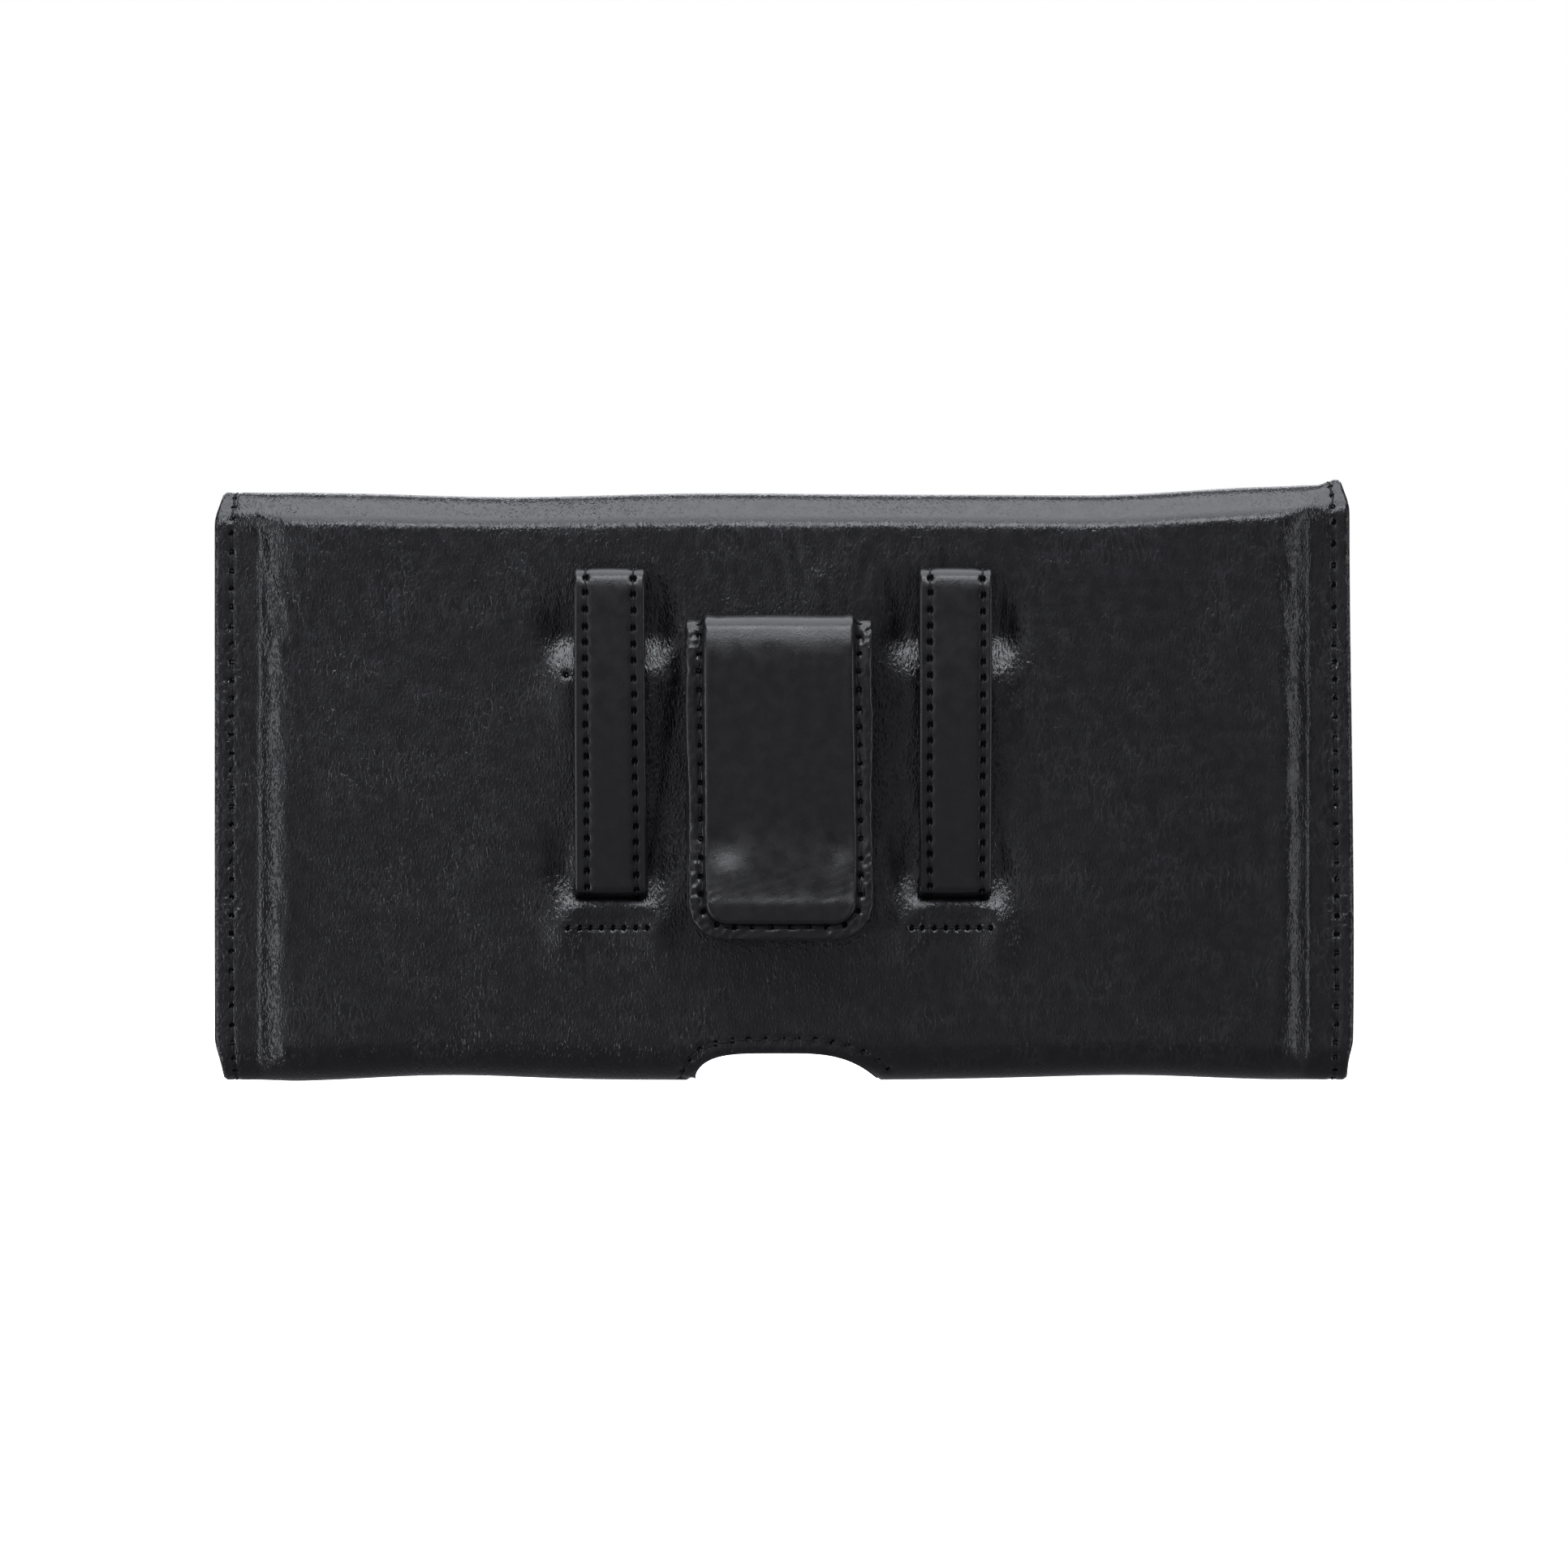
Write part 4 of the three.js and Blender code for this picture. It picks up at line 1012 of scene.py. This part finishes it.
def add_loop(name, flare, shift, wider, insets):
    """One belt loop; the straps are cut by hand, so each has its own shift, width, flare and seams."""
    loop = loops[name]
    rear_y = BACK_Y - 0.15
    route = loop_route(loop, rear_y)
    s_low = route.near(BACK_Y - 2.2, SLIT_Z + 2.6)
    s_front = route.near(loop["front"], 38)
    s_top = route.near(loop["front"], loop["top"] - 4.2)
    s_rear = route.near(rear_y, 69.5)
    drift = flare / 2

    def centre(s):
        return loop["x"] + shift + drift * (1 - smooth(s, s_low, s_top))

    def half(s):
        return loop["half"] + wider + drift * (1 - smooth(s, s_low, s_top))

    left_x, right_x = insets[0] - half(s_top), half(s_top) - insets[1]
    left_foot = (insets[0] - half(s_low) + drift, s_low - 1)
    right_foot = (half(s_low) - insets[1], s_low - 1.8)
    seams = [
        evenly([left_foot, (left_x, s_top), (left_x, s_rear)], LOOP_PITCH),
        evenly([right_foot, (right_x, s_top), (right_x, s_rear)], LOOP_PITCH),
    ]
    soft = Waves(14, 1.5, 10)

    def relief(x, s):
        edge = half(s) - np.abs(x)
        height = 0.1 * smooth(edge, 0.9, 3.6) + 0.03 * soft.at(x, s)
        height -= 0.22 * (1 - smooth(edge, 0, 0.5)) ** 2 + 0.06 * bell(edge - 0.75, 0.22)
        return height + seam_relief(x, s, seams, 0.1, 0.34)

    strap = Strip(route, centre, half, relief)
    u = graded([(-1, 0.03), (-0.62, 0.05), (0, 0.12), (0.62, 0.05), (1, 0.03)])
    s = graded([(0, 0.8), (s_low, 0.4), (s_rear, 0.4), (route.end, 0.8)])
    piece = strap.mesh(f"{name}_strap", s, u, level(STRAP), TRIM)
    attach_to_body(piece, "pouch")
    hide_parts(f"{name}_loop_strap")
    under = Strip(route, centre, lambda s: half(s) - 0.05, level(-STRAP))
    u = graded([(-1, 0.1), (1, 0.1)])
    s = graded([(s_front - 3, 0.6), (s_rear, 0.6)])
    piece = under.mesh(f"{name}_strap_lining", s, u, level(STRAP + LOOP_LINING), TRIM)
    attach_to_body(piece, "pouch")
    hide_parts(f"{name}_loop_lining")
    for side, holes in zip(("left", "right"), seams):
        nodes = [f"{name}_loop_thread_{side}"]
        stitches(f"{name}_strap_stitches_{side}", holes, strap.surface, riding("pouch"), nodes)
        hole_shade_discs(f"{name}_strap_holes_{side}", holes, strap.surface, riding("pouch"), 0.54, 1.35)


# ---- Belt clip ----
CLIP_LOW, CLIP_HIGH = box("clip_cover_outer")
TONGUE_LOW, TONGUE_HIGH = box("clip_cover_tongue")
CLIP_X = (CLIP_LOW[0] + CLIP_HIGH[0]) / 2
CLIP_HALF = (CLIP_HIGH[0] - CLIP_LOW[0]) / 2 + 0.25
CLIP_TOP_Z = TONGUE_HIGH[2] + 0.25
CLIP_END_Z = CLIP_LOW[2]
CLIP_FRONT_Y = TONGUE_LOW[1]
CLIP_TIP_Y = CLIP_LOW[1]
CLIP_REAR_Y = TONGUE_HIGH[1]
CLIP_HINGE_Z = joint_place("clip_flex")[2]
CLIP_CORNER = 6.1
CLIP_PITCH = 2.9
CLIP_SEAM_IN = 2.1
CLIP_FOLD_REACH = 2
COVER = 1.2
GRIP_Z = 38
GRIP_Y = CLIP_FRONT_Y + 1.2


def over_the_clip_fold(piece):
    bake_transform(piece)


def clip_inset(x, s):
    """Distance in from the clip's sides and rounded foot."""
    side = CLIP_HALF - 0.15 - np.abs(x)
    a, b = CLIP_CORNER - side, CLIP_CORNER - s
    round_corner = CLIP_CORNER - np.hypot(np.maximum(a, 0), np.maximum(b, 0))
    return np.where((a > 0) & (b > 0), round_corner, np.minimum(side, s))


def clip_seam(s_end):
    """The cover's stitches: down the left side, round the foot and up the right side."""
    reach = CLIP_HALF - CLIP_SEAM_IN
    turn = CLIP_CORNER - CLIP_SEAM_IN
    angles = np.linspace(0, math.pi / 2, 7)
    left = [(-reach + turn - turn * math.cos(a), CLIP_CORNER - turn * math.sin(a)) for a in angles]
    right = [(-x, s) for x, s in reversed(left)]
    return evenly([(-reach, s_end)] + left + right + [(reach, s_end)], CLIP_PITCH)


def add_clip():
    route = Path(
        [
            (CLIP_TIP_Y + 0.7, CLIP_END_Z),
            (CLIP_TIP_Y + 0.1, CLIP_END_Z + 5.6, 4),
            (GRIP_Y, GRIP_Z + 2, 30),
            (CLIP_FRONT_Y, CLIP_HINGE_Z - 1, 14),
            (CLIP_FRONT_Y, CLIP_TOP_Z - 5.5, 16),
            (CLIP_FRONT_Y + 1.5, CLIP_TOP_Z, 3.1),
            (CLIP_REAR_Y, CLIP_TOP_Z, 3.3),
            (CLIP_REAR_Y, 40),
        ]
    )
    s_split = route.near(CLIP_FRONT_Y, CLIP_HINGE_Z + CLIP_FOLD_REACH)
    s_top = route.near(CLIP_FRONT_Y + 0.5, CLIP_TOP_Z - 4)
    s_over = route.near((CLIP_FRONT_Y + CLIP_REAR_Y) / 2, CLIP_TOP_Z)
    seam = clip_seam(s_over - 1)
    soft = Waves(16, 1.5, 10)
    crumple = Waves(1.3, 1.4, 20)

    def half(s):
        waist = 0.25 * bell(s - 16, 9) + 0.1 * np.sin(s / 3.1)
        return CLIP_HALF - corner_cut(s, CLIP_CORNER) - waist * (1 - smooth(s, s_top - 8, s_top))

    def foot_bead(x, s, deep):
        """The hard line where the leather turns over the corners of the steel."""
        at_corner = bell(np.minimum(s - 5, 0), 3) * (1 - smooth(s, 6, 11)) * smooth(np.abs(x), 6, 9)
        return 0.2 * bell(deep - CLIP_SEAM_IN - 1.0, 0.45) * at_corner

    def relief(x, s):
        """The cover stands up over the steel, and a flange lies round it outside the stitches."""
        deep = clip_inset(x, s)
        body = smooth(deep, CLIP_SEAM_IN - 0.05, CLIP_SEAM_IN + 0.85)
        top = smooth(s, s_top + 1, s_over)
        height = 0.85 * (body * (1 - 0.35 * top) - 1) + 0.22 * (1 - (x / CLIP_HALF) ** 2)
        height += 0.04 * soft.at(x, s) + foot_bead(x, s, deep)
        height += 0.16 * bell(deep - CLIP_SEAM_IN - 1.3, 0.7) * smooth(s, 26, s_top - 2)
        pinches = 0.85 * bell(x + 8.2, 3.4) + 0.55 * bell(x - 9.4, 2.2)
        height += body * (0.42 * bell(s - 3.9, 2.4) - bell(s - 15.5, 4.0) * pinches)
        rough = 0.06 * (1 - body) * (1 - top) + 0.01 * body * (1 - smooth(s, 6, 17))
        edge = np.minimum(half(s) - np.abs(x), s + 0.05)
        height += rough * crumple.at(x, s) - 0.25 * (1 - smooth(edge, 0, 0.5)) ** 2
        return height + seam_relief(x, s, [seam], 0.2, 0.34)

    def thick(x, s):
        return COVER - 0.8 * np.clip(relief(x, s), -0.9, 0)

    cover = Strip(route, lambda s: CLIP_X + 0.3 * (1 - smooth(s, 8, s_top)), half, relief)
    u = graded([(-1, 0.018), (-0.7, 0.022), (-0.5, 0.05), (0.5, 0.05), (0.7, 0.022), (1, 0.018)])
    arm = graded([(0, 0.22), (7, 0.3), (18, 0.45), (s_split, 0.5)])
    front = cover.mesh("clip_cover_arm", arm, u, thick, TRIM)
    over_the_clip_fold(front)
    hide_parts("clip_cover_outer")
    top = graded([(s_split, 0.35), (s_over, 0.35), (route.end - 20, 1.2), (route.end, 1.2)])
    tongue = cover.mesh("clip_cover_top", top, u, thick, TRIM)
    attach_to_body(tongue, "pouch")
    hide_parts("clip_cover_tongue")
    split = int(np.argmin(np.abs(seam[: len(seam) // 2, 1] - s_split)))
    rows = {
        "arm": (seam[split : len(seam) - split], ["clip_cover_thread"]),
        "top_left": (seam[: split + 1], []),
        "top_right": (seam[len(seam) - split - 1 :], []),
    }
    for place, (holes, nodes) in rows.items():
        stitches(f"clip_stitches_{place}", holes, cover.surface, over_the_clip_fold, nodes)
        hole_shade_discs(f"clip_holes_{place}", holes, cover.surface, over_the_clip_fold)
    add_clip_lining(half)


def add_clip_lining(half):
    """The leather on the face of the clip that lies against the belt."""
    under = COVER + 1.05
    route = Path(
        [
            (CLIP_TIP_Y + under - 0.15, CLIP_END_Z),
            (CLIP_TIP_Y + under, CLIP_END_Z + 5, 5),
            (CLIP_FRONT_Y + under + 1.85, GRIP_Z, 8),
            (CLIP_FRONT_Y + under, CLIP_HINGE_Z - 0.3),
        ]
    )
    band = Strip(route, lambda s: CLIP_X, lambda s: half(s) - 0.05, level(-0.8))
    s = graded([(0, 0.4), (8, 0.5), (route.end, 1.0)])
    u = graded([(-1, 0.06), (1, 0.06)])
    piece = band.mesh("clip_lining", s, u, level(0), [TRIM_LEATHER, EDGE_PAINT, TRIM_LEATHER])
    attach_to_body(piece, "clip_arm")
    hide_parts("clip_cover_inner")


# ---- Elastic gussets ----
RIB_PITCH = 1.25
SLACK_LENGTH = 11


def add_gusset(side):
    """The ribbed elastic that closes one end of the pocket, bent round inside its CAD solid."""
    low, high = box(f"elastic_gusset_{side}")
    way = -1 if side == "left" else 1
    reach = max(abs(low[0]), abs(high[0])) - 0.1
    half = (high[1] - low[1]) / 2 - 0.05
    middle = (high[1] + low[1]) / 2
    depth, bend = 6, 2.6
    outline = Path(
        [
            (reach - depth, middle - half),
            (reach, middle - half, bend),
            (reach, middle + half, bend),
            (reach - depth, middle + half),
        ]
    )
    t = graded([(0, 0.35), (outline.end, 0.35)])
    z = graded([(low[2], 0.6), (high[2], 0.6)])
    grid_t, grid_z = np.meshgrid(t, z)
    x, y = outline.at(grid_t)
    nx, ny = outline.normal(grid_t)
    ribs = 0.12 * np.cos(grid_t * 2 * math.pi / RIB_PITCH) - 0.1
    slack = 0.2 * np.abs(np.cos(grid_z * 2 * math.pi / SLACK_LENGTH)) * smooth(x, reach - 2, reach)

    def layer(lift):
        return np.stack([way * (x - nx * lift - slack), y - ny * lift, grid_z], -1)

    uv = np.stack([grid_z, grid_t], -1)
    piece = ply(f"gusset_{side}", layer(ribs), layer(-0.6), uv, [ELASTIC, ELASTIC, ELASTIC], coarse=1)
    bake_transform(piece)
    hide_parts(f"elastic_gusset_{side}")


# ---- Hard parts that keep their own meshes ----
def dress_hard_parts():
    rivets = ["clip_rivet_upper", "clip_rivet_lower"]
    dress = {
        BOARD: ["back_board", "front_board", "flap_board"],
        NICKEL: ["front_magnet", "flap_magnet"],
        STEEL: ["clip_backing_plate", "clip_spring_base", "clip_spring_arm"] + rivets,
    }
    for material, nodes in dress.items():
        for node in nodes:
            mesh = frame["nodes"][node].data
            mesh.materials.clear()
            mesh.materials.append(material)


# ---- Studio ----
CAMERA_DISTANCE = 1.2
VIEW_WIDTH = 0.2475
VIEW_MIDDLE_Z = 0.047
SENSOR_WIDTH = 36
LIGHT_COLOR = (0.96, 0.98, 1.03)
AIM = (0, 0, 0.045)


def add_floor():
    """A pale floor just under the object, unseen by reflections so that it doesn't light the leather."""
    size, floor_z = 3.0, -0.0006
    corners = [(-size, -size, floor_z), (size, -size, floor_z), (size, size, floor_z), (-size, size, floor_z)]
    mesh = bpy.data.meshes.new("floor")
    mesh.from_pydata(corners, [], [[0, 1, 2, 3]])
    made, _, shader = new_material("floor", (0.9, 0.9, 0.9), 0.9, specular=0.1)
    shader.inputs["Emission Color"].default_value = (1, 1, 1, 1)
    shader.inputs["Emission Strength"].default_value = 1.0
    mesh.materials.append(made)
    floor = bpy.data.objects.new("floor", mesh)
    bpy.context.scene.collection.objects.link(floor)
    floor.visible_glossy = False
    floor.visible_diffuse = False
    floor.visible_shadow = False


def softbox(name, place, width, height, power):
    """A soft rectangular light that points at the object and isn't seen itself."""
    light = bpy.data.lights.new(name, "AREA")
    light.shape = "RECTANGLE"
    light.size, light.size_y = width, height
    light.energy = power
    light.color = LIGHT_COLOR
    lamp = bpy.data.objects.new(name, light)
    bpy.context.scene.collection.objects.link(lamp)
    lamp.visible_camera = False
    lamp.location = place
    lamp.rotation_euler = (Vector(AIM) - Vector(place)).to_track_quat("-Z", "Y").to_euler()


def add_world():
    """White behind the object, and a dim fill on it that is a little stronger from below."""
    world = bpy.data.worlds.new("studio")
    bpy.context.scene.world = world
    world.use_nodes = True
    tree = world.node_tree
    tree.nodes.clear()
    seen = add(tree, "LightPath").outputs["Is Camera Ray"]
    white = add(tree, "Background", {"Color": (1, 1, 1, 1), "Strength": 1.0}).outputs[0]
    direction = add(tree, "TexCoord").outputs["Generated"]
    upward = add(tree, "SeparateXYZ", {"Vector": direction}).outputs["Z"]
    fill = ramp(tree, upward, -0.5, 0.1, 0.22, 0.12)
    dim = add(tree, "Background", {"Color": (0.96, 0.95, 1.0, 1), "Strength": fill}).outputs[0]
    mix = add(tree, "MixShader", {0: seen, 1: dim, 2: white}).outputs[0]
    add(tree, "OutputWorld", {"Surface": mix})


def add_lights():
    softbox("overhead", (0, -0.02, 0.62), 0.95, 0.6, 5.8)
    softbox("front_top", (0, -0.58, 0.6), 0.8, 0.26, 4.8)
    softbox("left", (-0.85, -0.44, -0.2), 0.3, 1.2, 3.9)
    softbox("right", (0.85, -0.44, -0.1), 0.3, 0.9, 1.8)
    softbox("front", (0, -2.2, 0), 1.5, 2.3, 1.9)
    softbox("strip", (-1.1, -1.9, 0.2), 0.5, 2.0, 3.0)
    softbox("back", (0.2, 2.2, 0.1), 1.5, 2.3, 2.4)
    softbox("back_strip", (-1.03, 1.94, 0.1), 0.55, 2.0, 2.9)
    softbox("back_top", (0, 0.75, 0.45), 0.8, 0.26, 1.4)
    softbox("back_left", (-0.85, 0.5, 0), 0.3, 0.9, 2.4)
    softbox("back_right", (0.85, 0.5, 0), 0.3, 0.9, 2.4)


def add_camera():
    lens = bpy.data.cameras.new("camera")
    lens.lens = SENSOR_WIDTH * CAMERA_DISTANCE / VIEW_WIDTH
    lens.clip_start = 0.05
    camera = bpy.data.objects.new("camera", lens)
    bpy.context.scene.collection.objects.link(camera)
    camera.location = (0, BACK_Y * MM - CAMERA_DISTANCE, VIEW_MIDDLE_Z)
    camera.rotation_euler = (math.pi / 2, 0, 0)
    bpy.context.scene.camera = camera


add_hide()
add_lining()
add_hide_stitches()
add_loop("left", 0.4, 0.1, 0.04, (1.7, 1.75))
add_loop("right", 0.0, 0.27, 0.2, (1.6, 1.4))
add_clip()
add_gusset("left")
add_gusset("right")
dress_hard_parts()
add_floor()
add_world()
add_lights()
add_camera()
bpy.context.scene.view_settings.view_transform = "Standard"
